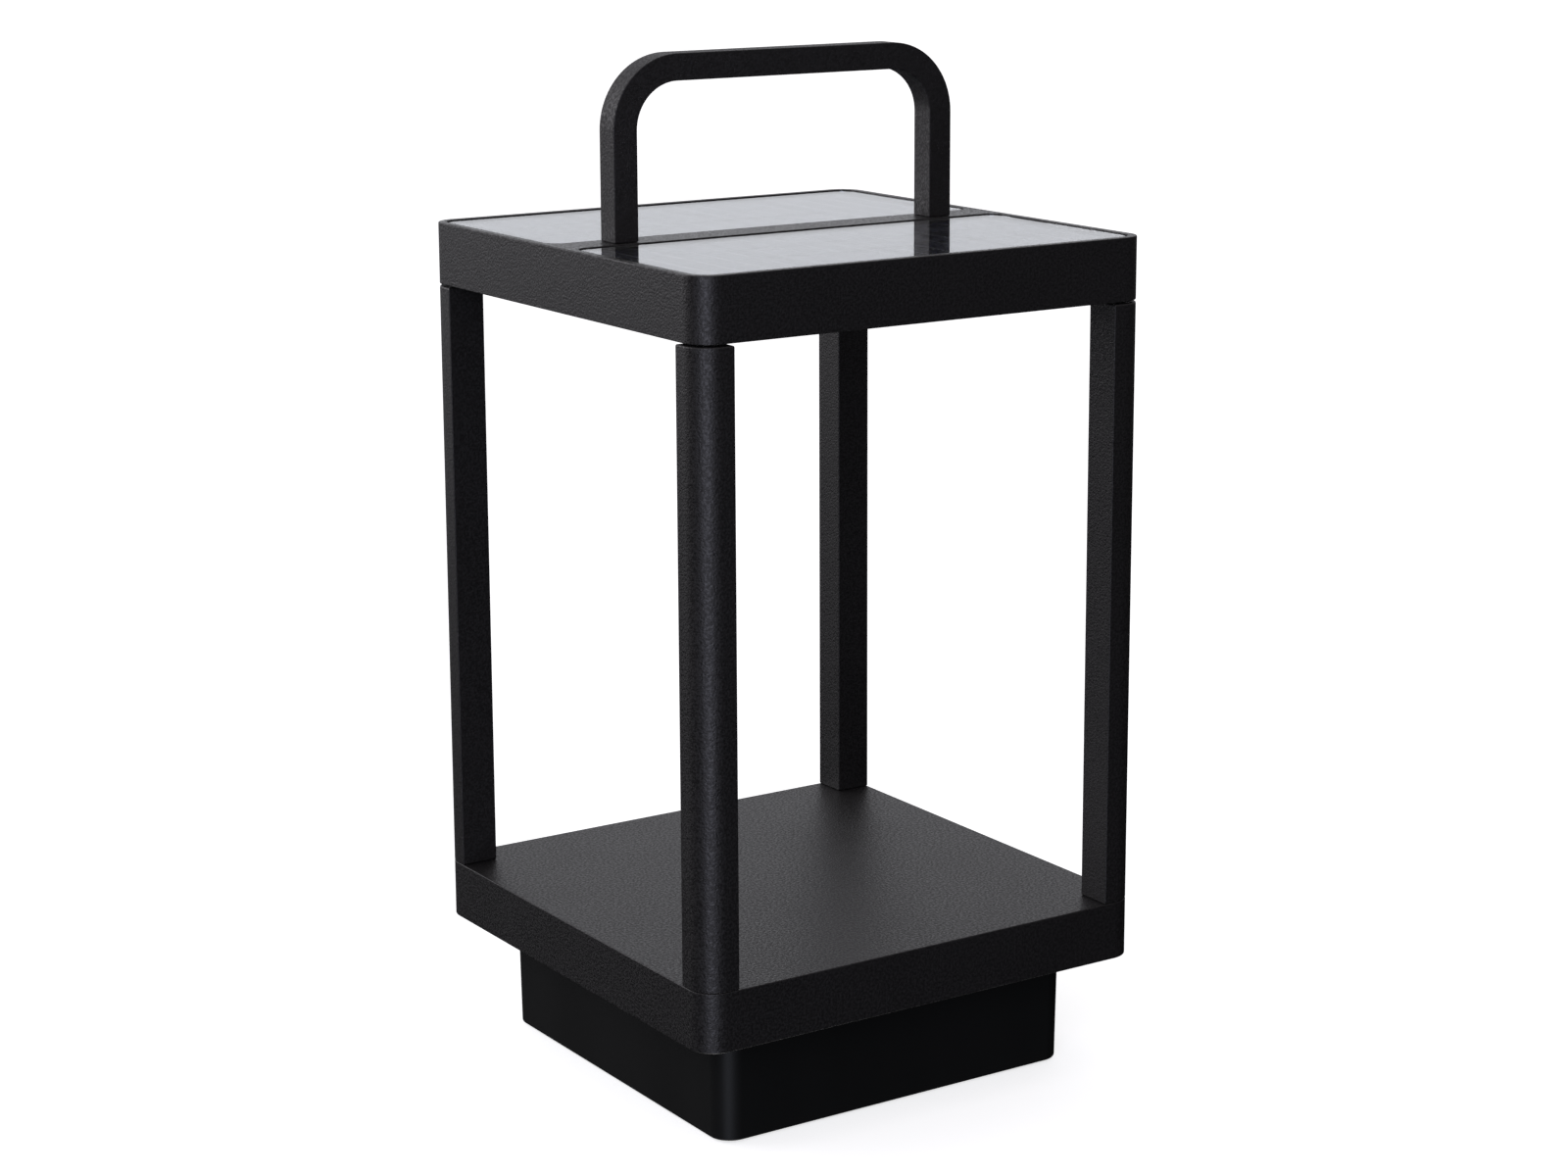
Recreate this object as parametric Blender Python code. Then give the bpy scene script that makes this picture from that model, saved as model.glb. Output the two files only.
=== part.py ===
"""Square garden lantern with two solar panels in its lid and a fixed carrying handle.

The lantern stands on the ground at z = 0, its centre is the origin, and its wide
open front faces -Y. Every size below is in millimetres; meshes are made in metres.

From the ground up: rubber feet, a plastic foot with the battery, a metal base, four
hollow corner posts, and a metal head with the solar panels, the lamp and its switch.
"""

import math

import bmesh
import bpy
from mathutils import Vector

MM = 0.001
GAP = 0.3

# ---------------------------------------------------------------- overall sizes
SIDE_HALF = 100.0
CORNER_RADIUS = 10.0
CORNER_STEPS = 6
INNER_STEPS = 3
TOTAL_HEIGHT = 400.0

FOOT_BOTTOM = 1.0
BASE_BOTTOM = 46.0
BASE_TOP = 69.0
HEAD_BOTTOM = 306.5
HEAD_TOP = 330.8

# ---------------------------------------------------------------- head
HEAD_WALL = 2.5
HEAD_STEP = 4.5
HEAD_STEP_HEIGHT = 4.4
HEAD_INNER_CORNER = 3.0
RIM = 3.4
BAR_HALF = 8.2
BAR_THICKNESS = 6.5
BAR_CORNER = 6.0
LEDGE = 5.0
GLASS_THICKNESS = 3.0
GLASS_RECESS = 0.4
GLASS_EDGE_GAP = 0.6
PANEL_SEAL = 0.4
CELL_THICKNESS = 1.6
COVER_THICKNESS = 2.8
COVER_TOP = HEAD_BOTTOM + COVER_THICKNESS
COVER_SCREW_X = 92.5
COVER_SCREW_Y = 45.0

# ---------------------------------------------------------------- handle
HANDLE_HALF_SPAN = 77.0
HANDLE_WIDTH = 10.2
HANDLE_DEPTH = 10.6
HANDLE_BEND = 28.0
HANDLE_EDGE = 0.6
HANDLE_LEG_X = HANDLE_HALF_SPAN - HANDLE_WIDTH / 2
HANDLE_BORE_DEPTH = 15.5

# ---------------------------------------------------------------- posts
POST_WIDTH = 15.2
POST_WALL = 2.0
POST_TOP = 305.7
POST_TOP_CHAMFER = 1.0
POST_BOTTOM_CHAMFER = 0.5
POST_EDGE = 0.4
POST_CENTRE = SIDE_HALF - POST_WIDTH / 2
POST_CORE = 2.8
POST_PAD_INSET = 2.9
WIRE_CHANNEL = POST_CENTRE - 4.125
WIRE_HOLE = 1.5
LOOM_RADIUS = 1.0

# ---------------------------------------------------------------- lamp and switch
LIGHT_HOLE = 45.2
LED_BOARD_RADIUS = 54.5
LED_BOARD_LOW = 314.0
LED_STAKE_CIRCLE = 51.0
BUTTON_Y = -75.0
BUTTON_RADIUS = 6.0
BUTTON_TRAVEL = 1.2
SWITCH_PEG_X = 13.0
SWITCH_BOARD_LOW = 317.8
BOARD_THICKNESS = 1.6

# ---------------------------------------------------------------- base and foot
BASE_WALL = 2.5
BASE_PLATE = 3.0
BASE_COVER_LOW = 46.2
BASE_COVER_HIGH = 48.0
BALLAST_HALF = 62.0
BALLAST_LOW = 53.0
BALLAST_HIGH = 59.0
FOOT_HALF_LOW = 80.3
FOOT_HALF_HIGH = 81.1
FOOT_CORNER = 9.5
FOOT_WALL = 2.7
FOOT_FLOOR = 6.0
FOOT_TOP = BASE_BOTTOM - GAP
FOOT_SCREW = 70.0
FOOT_SCREW_SEAT = 34.0
PAD_PLACE = 62.0
PAD_RADIUS = 7.0
DOOR_HALF = (48.0, 29.0)
HATCH_HALF = (41.0, 22.0)
DOOR_LEDGE = 4.4
DOOR_SCREW = (45.4, 26.4)
DOOR_TAB_Y = 12.0
DOOR_TAB_HALF = 3.6
CELL_RADIUS = 9.15
CELL_HALF_LENGTH = 32.5
CELL_Y = 10.3
CELL_Z = 16.2
BOARD_LOW = 33.0
BOARD_HIGH = BOARD_LOW + BOARD_THICKNESS

# ---------------------------------------------------------------- fasteners
M3_SHANK = 1.25
M3_HOLE = 1.55
M4_SHANK = 1.5
M4_HOLE = 1.8
M5_SHANK = 1.75
M5_HOLE = 2.05
SCREW_STEPS = 10
SHOWN_SCREW_STEPS = 14

SIDES = (-1, 1)
CORNERS = ((-1, -1), (1, -1), (1, 1), (-1, 1))
CORNER_NAMES = ("front_left", "front_right", "rear_right", "rear_left")
MID_SIDES = ((-1, 0), (1, 0), (0, -1), (0, 1))
MID_SIDE_NAMES = ("left", "right", "front", "rear")


# ---------------------------------------------------------------- outlines
def corner_points(corner, towards_x, towards_y, radius, steps):
    """Points round one corner of a rectangle, anticlockwise seen from above."""
    centre_x = corner[0] - towards_x * radius
    centre_y = corner[1] - towards_y * radius
    middle = math.atan2(towards_y, towards_x)
    points = []
    for step in range(steps + 1):
        angle = middle + math.radians(-45 + 90 * step / steps)
        points.append((centre_x + radius * math.cos(angle), centre_y + radius * math.sin(angle)))
    return points


def rectangle(low, high, corners):
    """Rectangle with four corners (radius, steps), listed from the low-x low-y one round."""
    places = ((low[0], low[1]), (high[0], low[1]), (high[0], high[1]), (low[0], high[1]))
    points = []
    for place, side, (radius, steps) in zip(places, CORNERS, corners):
        points += corner_points(place, side[0], side[1], radius, steps)
    return points


def square(half, radius, steps=CORNER_STEPS):
    """Rounded square centred on the origin."""
    return rectangle((-half, -half), (half, half), ((radius, steps),) * 4)


def circle(x, y, radius, steps):
    """Regular polygon standing for a circle."""
    turns = [2 * math.pi * step / steps for step in range(steps)]
    return [(x + radius * math.cos(turn), y + radius * math.sin(turn)) for turn in turns]


# ---------------------------------------------------------------- solids
class Shape:
    """Closed solids gathered in one mesh, in millimetres."""

    def __init__(self):
        self.mesh = bmesh.new()

    def ring(self, points):
        return [self.mesh.verts.new(point) for point in points]

    def skin(self, first, second):
        count = len(first)
        for i in range(count):
            j = (i + 1) % count
            self.mesh.faces.new((first[i], first[j], second[j], second[i]))

    def loft(self, levels):
        """Solid through outlines given as (height, outline), closed by flat ends."""
        rings = [self.ring([(x, y, z) for x, y in outline]) for z, outline in levels]
        for below, above in zip(rings, rings[1:]):
            self.skin(below, above)
        self.mesh.faces.new(list(reversed(rings[0])))
        self.mesh.faces.new(rings[-1])
        return self

    def hoop(self, levels):
        """Solid with a hole right through: outlines up the outside, then down the inside."""
        rings = [self.ring([(x, y, z) for x, y in outline]) for z, outline in levels]
        for here, after in zip(rings, rings[1:] + rings[:1]):
            self.skin(here, after)
        return self

    def turned(self, profile, x=0.0, y=0.0, steps=SCREW_STEPS):
        """Turned solid from (radius, height) points that do not touch the axis."""
        levels = [(height, circle(x, y, radius, steps)) for radius, height in profile]
        return self.loft(levels)

    def disc(self, x, y, radius, low, high, steps=SCREW_STEPS):
        return self.turned(((radius, low), (radius, high)), x, y, steps)

    def block(self, low, high):
        outline = ((low[0], low[1]), (high[0], low[1]), (high[0], high[1]), (low[0], high[1]))
        return self.loft(((low[2], outline), (high[2], outline)))

    def along_x(self, outline, low, high):
        """Solid with a (y, z) outline, drawn out along X."""
        rings = [self.ring([(x, y, z) for y, z in outline]) for x in (low, high)]
        self.skin(rings[0], rings[1])
        self.mesh.faces.new(list(reversed(rings[0])))
        self.mesh.faces.new(rings[1])
        return self

    def data(self, name):
        """Mesh datablock in metres, with faces pointing out."""
        bmesh.ops.recalc_face_normals(self.mesh, faces=self.mesh.faces)
        bmesh.ops.scale(self.mesh, vec=(MM, MM, MM), verts=self.mesh.verts)
        data = bpy.data.meshes.new(name)
        self.mesh.to_mesh(data)
        self.mesh.free()
        return data


def add_object(name, shape, material, place=(0.0, 0.0, 0.0)):
    """Named sub-part with its own material, its mesh drawn about the given place."""
    part = bpy.data.objects.new(name, shape.data(name))
    part.location = [value * MM for value in place]
    part.data.materials.append(material)
    part.data.set_sharp_from_angle(angle=math.radians(30))
    bpy.context.scene.collection.objects.link(part)
    return part


def add_screws(name, words, places, sizes, material, steps=SCREW_STEPS):
    """One screw per place, seated at z = 0 of its own mesh.

    Sizes are head radius, shank radius, head height and shank length. The head is on
    the far side of the seat from the shank, so a negative length points the screw down.
    """
    head_radius, shank_radius, head, length = sizes
    away = -math.copysign(head, length)
    profile = ((head_radius, away), (head_radius, 0.0), (shank_radius, 0.0), (shank_radius, length))
    data = Shape().turned(profile, steps=steps).data(name)
    data.materials.append(material)
    data.set_sharp_from_angle(angle=math.radians(30))
    for word, place in zip(words, places):
        screw = bpy.data.objects.new(f"{name}_{word}", data)
        screw.location = [value * MM for value in place]
        bpy.context.scene.collection.objects.link(screw)


def combine(part, shape, operation):
    """Exact Boolean with a tool that stays as a hidden guide."""
    count = len(part.modifiers)
    tool = bpy.data.objects.new(f"tool_{part.name}_{count}", shape.data("tool"))
    bpy.context.scene.collection.objects.link(tool)
    tool.hide_render = True
    tool.display_type = "WIRE"
    modifier = part.modifiers.new(f"{operation.lower()}_{count}", "BOOLEAN")
    modifier.operation = operation
    modifier.solver = "EXACT"
    modifier.object = tool


def cut(part, shape):
    combine(part, shape, "DIFFERENCE")


def weld(part, shape):
    combine(part, shape, "UNION")


def finish(name, colour, roughness, metallic=0.0, alpha=1.0):
    """Principled material with one colour."""
    material = bpy.data.materials.new(name)
    material.use_nodes = True
    shader = material.node_tree.nodes["Principled BSDF"]
    shader.inputs["Base Color"].default_value = (*colour, 1.0)
    shader.inputs["Roughness"].default_value = roughness
    shader.inputs["Metallic"].default_value = metallic
    shader.inputs["Alpha"].default_value = alpha
    return material


def powder_coat(name):
    return finish(name, (0.028, 0.028, 0.030), 0.45)


def black_plastic(name):
    return finish(name, (0.012, 0.012, 0.013), 0.35)


def seal_rubber(name):
    return finish(name, (0.015, 0.015, 0.015), 0.8)


def zinc_steel(name):
    return finish(name, (0.55, 0.56, 0.58), 0.35, 1.0)


def circuit_board(name):
    return finish(name, (0.02, 0.16, 0.07), 0.5)


# ---------------------------------------------------------------- head
def panel_corners(side, outer_radius, inner_radius, steps):
    """Corner list for a panel on the -Y (side -1) or +Y (side 1) half of the head."""
    outer = (outer_radius, steps)
    inner = (inner_radius, steps)
    return (outer, outer, inner, inner) if side < 0 else (inner, inner, outer, outer)


def panel_outline(side, inset, outer_radius, inner_radius, steps=CORNER_STEPS):
    """Panel-shaped outline between the bar and the rim, drawn in by an inset."""
    reach = SIDE_HALF - RIM - inset
    near = min(side * (BAR_HALF + inset), side * reach)
    far = max(side * (BAR_HALF + inset), side * reach)
    corners = panel_corners(side, outer_radius, inner_radius, steps)
    return rectangle((-reach, near), (reach, far), corners)


def window_tool(side):
    """Pocket for the glass with a smaller opening under it, leaving a ledge."""
    pocket = panel_outline(side, 0.0, CORNER_RADIUS - RIM, BAR_CORNER)
    opening = panel_outline(side, LEDGE - GAP, HEAD_INNER_CORNER, HEAD_INNER_CORNER)
    ledge = HEAD_TOP - GLASS_RECESS - GLASS_THICKNESS - PANEL_SEAL - 2 * GAP
    below = HEAD_TOP - BAR_THICKNESS - 1.0
    return (below, opening), (ledge, opening), (ledge, pocket), (HEAD_TOP + 1.0, pocket)


def head_frame():
    """Cast frame: outer band, flat rim and centre bar in one piece, open underneath."""
    outer = square(SIDE_HALF, CORNER_RADIUS)
    wide = square(SIDE_HALF - HEAD_WALL, CORNER_RADIUS - HEAD_WALL, INNER_STEPS)
    narrow = square(SIDE_HALF - HEAD_STEP, HEAD_INNER_CORNER, INNER_STEPS)
    step = HEAD_BOTTOM + HEAD_STEP_HEIGHT
    ceiling = HEAD_TOP - BAR_THICKNESS
    part = add_object(
        "head_frame",
        Shape().loft(((HEAD_BOTTOM, outer), (HEAD_TOP, outer))),
        powder_coat("head_powder_coat"),
    )
    cut(part, Shape().loft(((HEAD_BOTTOM - 1, wide), (step, wide), (step, narrow), (ceiling, narrow))))
    bosses = Shape()
    holes = Shape()
    for side_x, side_y in CORNERS:
        place = (side_x * COVER_SCREW_X, side_y * COVER_SCREW_Y)
        bosses.disc(*place, 4.5, step + 0.4, ceiling + 0.6, steps=12)
        holes.disc(*place, M3_HOLE, step - 0.5, ceiling - 2.6, steps=8)
    weld(part, bosses)
    for side in SIDES:
        cut(part, Shape().loft(window_tool(side)))
        holes.disc(side * HANDLE_LEG_X, 0.0, M5_HOLE, ceiling - 1, HEAD_TOP + 1, steps=8)
    cut(part, holes)


def head_bottom_cover():
    """Plate that closes the head and carries the lamp, the switch and the posts."""
    outline = square(SIDE_HALF - HEAD_WALL - GAP, CORNER_RADIUS - HEAD_WALL - GAP, INNER_STEPS)
    part = add_object(
        "head_bottom_cover",
        Shape().loft(((HEAD_BOTTOM, outline), (COVER_TOP, outline))),
        powder_coat("head_cover_powder_coat"),
    )
    stake_place = LED_STAKE_CIRCLE * math.sqrt(0.5)
    root = COVER_TOP - 0.8
    shoulder = LED_BOARD_LOW - GAP
    stake = ((2.4, root), (2.4, shoulder), (1.2, shoulder), (1.2, shoulder + 2.7))
    pegs = Shape()
    pads = Shape()
    for side_x, side_y in CORNERS:
        pegs.turned(stake, side_x * stake_place, side_y * stake_place)
        pad = post_outline(side_x, side_y, POST_PAD_INSET)
        pads.loft(((POST_TOP + GAP, pad), (HEAD_BOTTOM + 1, pad)))
    for side in SIDES:
        pegs.disc(side * SWITCH_PEG_X, BUTTON_Y, 2.0, root, SWITCH_BOARD_LOW - GAP, steps=8)
    weld(part, pegs)
    weld(part, pads)
    low = HEAD_BOTTOM - 1.0
    high = COVER_TOP + 1.2
    holes = Shape()
    holes.disc(0.0, 0.0, LIGHT_HOLE, low, high, steps=32)
    holes.disc(0.0, BUTTON_Y, BUTTON_RADIUS + GAP, low, high, steps=16)
    holes.disc(-WIRE_CHANNEL, WIRE_CHANNEL, WIRE_HOLE, low, high, steps=8)
    counterbore = ((3.1, low), (3.1, HEAD_BOTTOM + 1.5), (M3_HOLE, HEAD_BOTTOM + 1.5), (M3_HOLE, high))
    for side_x, side_y in CORNERS:
        holes.disc(side_x * POST_CENTRE, side_y * POST_CENTRE, M4_HOLE, low, high, steps=8)
        holes.turned(counterbore, side_x * COVER_SCREW_X, side_y * COVER_SCREW_Y)
    cut(part, holes)


def head_cover_gasket():
    """Flat seal between the cover's edge and the step inside the band."""
    outer = square(SIDE_HALF - HEAD_WALL - GAP, CORNER_RADIUS - HEAD_WALL - GAP, INNER_STEPS)
    inner = square(SIDE_HALF - HEAD_STEP + GAP, HEAD_INNER_CORNER + GAP, INNER_STEPS)
    low = COVER_TOP + GAP
    high = HEAD_BOTTOM + HEAD_STEP_HEIGHT - GAP
    levels = ((low, outer), (high, outer), (high, inner), (low, inner))
    add_object("head_cover_gasket", Shape().hoop(levels), seal_rubber("head_gasket_rubber"))


def head_cover_screws():
    seat = HEAD_BOTTOM + 1.2
    places = [(x * COVER_SCREW_X, y * COVER_SCREW_Y, seat) for x, y in CORNERS]
    sizes = (2.7, M3_SHANK, 1.0, 12.0)
    steel = zinc_steel("head_screw_steel")
    add_screws("head_cover_screw", CORNER_NAMES, places, sizes, steel, SHOWN_SCREW_STEPS)


def solar_panels():
    """Two glazed panels: glass on a seal, with the cell laminate in the opening below."""
    top = HEAD_TOP - GLASS_RECESS
    glass_low = top - GLASS_THICKNESS
    seal_high = glass_low - GAP
    seal_low = seal_high - PANEL_SEAL
    for side, word in zip(SIDES, ("front", "rear")):
        glass = panel_outline(side, GLASS_EDGE_GAP, 6.6, 5.4)
        add_object(
            f"solar_glass_{word}",
            Shape().loft(((glass_low, glass), (top, glass))),
            finish(f"panel_glass_{word}", (0.02, 0.025, 0.045), 0.05),
        )
        cells = panel_outline(side, LEDGE + 0.1, 2.6, 2.6, INNER_STEPS)
        cell_high = glass_low - GAP
        add_object(
            f"solar_cells_{word}",
            Shape().loft(((cell_high - CELL_THICKNESS, cells), (cell_high, cells))),
            finish(f"panel_cells_{word}", (0.01, 0.015, 0.05), 0.3),
        )
        outer = panel_outline(side, 0.8, 6.4, 5.2, INNER_STEPS)
        inner = panel_outline(side, 4.0, 3.2, 2.6, INNER_STEPS)
        levels = ((seal_low, outer), (seal_high, outer), (seal_high, inner), (seal_low, inner))
        add_object(f"panel_gasket_{word}", Shape().hoop(levels), seal_rubber(f"panel_seal_{word}"))


# ---------------------------------------------------------------- handle
def handle_path():
    """Centre line of the handle in the XZ plane, as (x, z, angle of travel)."""
    bend = HANDLE_BEND - HANDLE_WIDTH / 2
    centre_x = HANDLE_LEG_X - bend
    centre_z = TOTAL_HEIGHT - HANDLE_BEND
    path = [(-HANDLE_LEG_X, HEAD_TOP + GAP, math.pi / 2)]
    for side, first in ((-1, math.pi), (1, math.pi / 2)):
        for step in range(CORNER_STEPS + 1):
            turn = first - step * math.pi / 2 / CORNER_STEPS
            x = side * centre_x + bend * math.cos(turn)
            z = centre_z + bend * math.sin(turn)
            path.append((x, z, turn - math.pi / 2))
    path.append((HANDLE_LEG_X, HEAD_TOP + GAP, -math.pi / 2))
    return path


def handle():
    """Square bar bent into a carrying bow, screwed on from inside the head."""
    wide = HANDLE_WIDTH / 2
    deep = HANDLE_DEPTH / 2
    section = rectangle((-wide, -deep), (wide, deep), ((HANDLE_EDGE, 1),) * 4)
    shape = Shape()
    rings = []
    for x, z, travel in handle_path():
        across = Vector((-math.sin(travel), 0.0, math.cos(travel)))
        centre = Vector((x, 0.0, z))
        rings.append(shape.ring([centre + across * u + Vector((0.0, v, 0.0)) for u, v in section]))
    for here, after in zip(rings, rings[1:]):
        shape.skin(here, after)
    shape.mesh.faces.new(list(reversed(rings[0])))
    shape.mesh.faces.new(rings[-1])
    part = add_object("handle", shape, powder_coat("handle_powder_coat"))
    bores = Shape()
    for side in SIDES:
        x = side * HANDLE_LEG_X
        bores.disc(x, 0.0, M5_HOLE, HEAD_TOP - 0.5, HEAD_TOP + HANDLE_BORE_DEPTH, steps=8)
    cut(part, bores)


def handle_screws():
    seat = HEAD_TOP - BAR_THICKNESS - GAP
    places = [(side * HANDLE_LEG_X, 0.0, seat) for side in SIDES]
    sizes = (3.4, M5_SHANK, 2.7, 20.3)
    add_screws("handle_screw", ("left", "right"), places, sizes, zinc_steel("handle_screw_steel"))


# ---------------------------------------------------------------- lamp
def led_board():
    """Round board with two rings of small square light sources on its underside."""
    part = add_object(
        "led_board",
        Shape().disc(0.0, 0.0, LED_BOARD_RADIUS, LED_BOARD_LOW, LED_BOARD_LOW + BOARD_THICKNESS, steps=32),
        finish("led_board_white", (0.8, 0.8, 0.78), 0.4),
    )
    chips = Shape()
    for count, radius in ((10, 32.0), (5, 15.0)):
        for index in range(count):
            turn = 2 * math.pi * index / count
            x = radius * math.cos(turn)
            y = radius * math.sin(turn)
            chips.block((x - 1.6, y - 1.6, LED_BOARD_LOW - 0.9), (x + 1.6, y + 1.6, LED_BOARD_LOW + 0.4))
    weld(part, chips)
    holes = Shape()
    place = LED_STAKE_CIRCLE * math.sqrt(0.5)
    for side_x, side_y in CORNERS:
        holes.disc(side_x * place, side_y * place, 1.5, LED_BOARD_LOW - 1, LED_BOARD_LOW + 3, steps=8)
    cut(part, holes)


def light_diffuser():
    """Shallow opal cup that drops through the cover, with a flange resting on a seal."""
    outside = ((42.0, 303.4), (44.0, 304.0), (44.9, 305.3), (44.9, 310.4), (48.0, 310.4), (48.0, 311.9))
    inside = ((43.2, 311.9), (43.2, 305.6), (41.6, 305.0))
    add_object(
        "light_diffuser",
        Shape().turned(outside + inside, steps=32),
        finish("opal_plastic", (0.85, 0.84, 0.80), 0.35),
    )
    seal = [(height, circle(0.0, 0.0, radius, 32)) for radius, height in (
        (47.8, 309.6), (47.8, 310.1), (45.8, 310.1), (45.8, 309.6),
    )]
    add_object("diffuser_gasket", Shape().hoop(seal), seal_rubber("diffuser_seal_rubber"))
    trim = [(height, circle(0.0, 0.0, radius, 32)) for radius, height in (
        (50.6, 304.9), (52.0, 305.6), (52.0, 306.2), (45.5, 306.2), (45.5, 304.9),
    )]
    add_object("diffuser_bezel", Shape().hoop(trim), black_plastic("bezel_plastic"))


def lamp_switch():
    """Push button in the cover, its guide collar, and the switch that it presses."""
    flange = COVER_TOP + 0.4
    rise = flange - HEAD_BOTTOM
    button = (
        (5.2, -1.9), (BUTTON_RADIUS, -1.1), (BUTTON_RADIUS, rise),
        (7.6, rise), (7.6, rise + 1.2), (2.0, rise + 1.2), (2.0, rise + 2.5),
    )
    add_object(
        "switch_button",
        Shape().turned(button, steps=24),
        finish("button_rubber", (0.03, 0.03, 0.03), 0.6),
        place=(0.0, BUTTON_Y, HEAD_BOTTOM),
    )
    collar_high = flange + 1.2 + BUTTON_TRAVEL + 1.3
    collar = [(height, circle(0.0, BUTTON_Y, radius, 20)) for radius, height in (
        (10.4, COVER_TOP + GAP), (10.4, collar_high), (8.1, collar_high), (8.1, COVER_TOP + GAP),
    )]
    add_object("switch_collar", Shape().hoop(collar), black_plastic("collar_plastic"))
    stem_low = flange + 2.5 + BUTTON_TRAVEL + GAP
    levels = []
    body_low = stem_low + 0.6
    body_high = SWITCH_BOARD_LOW - GAP
    for half, height in ((1.5, stem_low), (1.5, body_low), (3.0, body_low), (3.0, body_high)):
        low = BUTTON_Y - half
        high = BUTTON_Y + half
        levels.append((height, ((-half, low), (half, low), (half, high), (-half, high))))
    add_object("tact_switch", Shape().loft(levels), black_plastic("tact_switch_plastic"))
    board_low = (-16.0, BUTTON_Y - 8.0, SWITCH_BOARD_LOW)
    board_high = (16.0, BUTTON_Y + 8.0, SWITCH_BOARD_LOW + BOARD_THICKNESS)
    green = circuit_board("switch_board_green")
    add_object("switch_board", Shape().block(board_low, board_high), green)


# ---------------------------------------------------------------- posts
def post_outline(side_x, side_y, inset):
    """Outline of one corner post or its pad: rounded outer corner, crisp others."""
    half = POST_WIDTH / 2 - inset
    edge = POST_EDGE if inset == 0.0 else POST_EDGE / 2
    corners = []
    for place in CORNERS:
        outside = place == (side_x, side_y)
        corners.append((CORNER_RADIUS - inset, CORNER_STEPS) if outside else (edge, 1))
    low = (side_x * POST_CENTRE - half, side_y * POST_CENTRE - half)
    high = (side_x * POST_CENTRE + half, side_y * POST_CENTRE + half)
    return rectangle(low, high, corners)


def post(name, side_x, side_y):
    """Drawn tube flush with base and head, with a screw core and an L-shaped wire channel."""
    low = BASE_TOP + GAP
    levels = []
    for height, inset in (
        (low, POST_BOTTOM_CHAMFER), (low + POST_BOTTOM_CHAMFER, 0.0),
        (POST_TOP - POST_TOP_CHAMFER, 0.0), (POST_TOP, POST_TOP_CHAMFER),
    ):
        levels.append((height, post_outline(side_x, side_y, inset)))
    part = add_object(name, Shape().loft(levels), powder_coat(f"{name}_powder_coat"))
    wall = POST_WIDTH / 2 - POST_WALL
    channel = []
    for u, v in (
        (-wall, -wall), (wall, -wall), (wall, -POST_CORE),
        (-POST_CORE, -POST_CORE), (-POST_CORE, wall), (-wall, wall),
    ):
        channel.append((side_x * (POST_CENTRE + u), side_y * (POST_CENTRE + v)))
    hollow = Shape().loft(((low - 1, channel), (POST_TOP + 1, channel)))
    hollow.disc(side_x * POST_CENTRE, side_y * POST_CENTRE, M4_HOLE, low - 1, POST_TOP + 1, steps=8)
    cut(part, hollow)


def post_screws():
    """Screws from inside the head down, and from inside the base up, into the posts."""
    steel = zinc_steel("post_screw_steel")
    down = [(x * POST_CENTRE, y * POST_CENTRE, COVER_TOP + GAP) for x, y in CORNERS]
    up = [(x * POST_CENTRE, y * POST_CENTRE, BASE_TOP - BASE_PLATE - 6.0 - GAP) for x, y in CORNERS]
    add_screws("post_screw_top", CORNER_NAMES, down, (2.6, M4_SHANK, 2.4, -22.0), steel, 8)
    add_screws("post_screw_bottom", CORNER_NAMES, up, (2.6, M4_SHANK, 2.4, 28.0), steel, 8)


# ---------------------------------------------------------------- base
def base_tray():
    """Cast base with a closed top, a skirt, and bosses for the posts, ballast and foot."""
    outer = square(SIDE_HALF, CORNER_RADIUS)
    hollow = square(SIDE_HALF - BASE_WALL, CORNER_RADIUS - BASE_WALL, INNER_STEPS)
    ceiling = BASE_TOP - BASE_PLATE
    part = add_object(
        "base_tray",
        Shape().loft(((BASE_BOTTOM, outer), (BASE_TOP, outer))),
        powder_coat("base_powder_coat"),
    )
    cut(part, Shape().loft(((BASE_BOTTOM - 1, hollow), (ceiling, hollow))))
    bosses = Shape()
    holes = Shape()
    bosses.disc(0.0, 0.0, 5.0, BALLAST_HIGH + GAP, ceiling + 0.8, steps=12)
    holes.disc(0.0, 0.0, M5_HOLE, BALLAST_HIGH - 0.5, 65.0, steps=8)
    for side_x, side_y in CORNERS:
        place = (side_x * POST_CENTRE, side_y * POST_CENTRE)
        bosses.disc(*place, 6.0, ceiling - 6.0, ceiling + 0.8, steps=12)
        holes.disc(*place, M4_HOLE, ceiling - 7.0, BASE_TOP + 1, steps=8)
    for side_x, side_y in MID_SIDES:
        place = (side_x * FOOT_SCREW, side_y * FOOT_SCREW)
        bosses.disc(*place, 4.5, BASE_COVER_HIGH + GAP, ceiling + 0.8, steps=12)
        holes.disc(*place, M4_HOLE, BASE_COVER_HIGH - 0.5, 62.0, steps=8)
    holes.disc(-WIRE_CHANNEL, WIRE_CHANNEL, WIRE_HOLE, ceiling - 7.0, BASE_TOP + 1, steps=8)
    weld(part, bosses)
    cut(part, holes)


def base_bottom_cover():
    """Steel plate inside the skirt, clamped by the screws that hold the foot."""
    outline = square(SIDE_HALF - BASE_WALL - GAP, CORNER_RADIUS - BASE_WALL - GAP, INNER_STEPS)
    part = add_object(
        "base_bottom_cover",
        Shape().loft(((BASE_COVER_LOW, outline), (BASE_COVER_HIGH, outline))),
        powder_coat("base_cover_powder_coat"),
    )
    holes = Shape()
    for side_x, side_y in MID_SIDES:
        place = (side_x * FOOT_SCREW, side_y * FOOT_SCREW)
        holes.disc(*place, M4_HOLE, BASE_COVER_LOW - 1, BASE_COVER_HIGH + 1, steps=8)
    holes.disc(-20.0, 40.0, 4.0, BASE_COVER_LOW - 1, BASE_COVER_HIGH + 1, steps=12)
    cut(part, holes)


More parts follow.
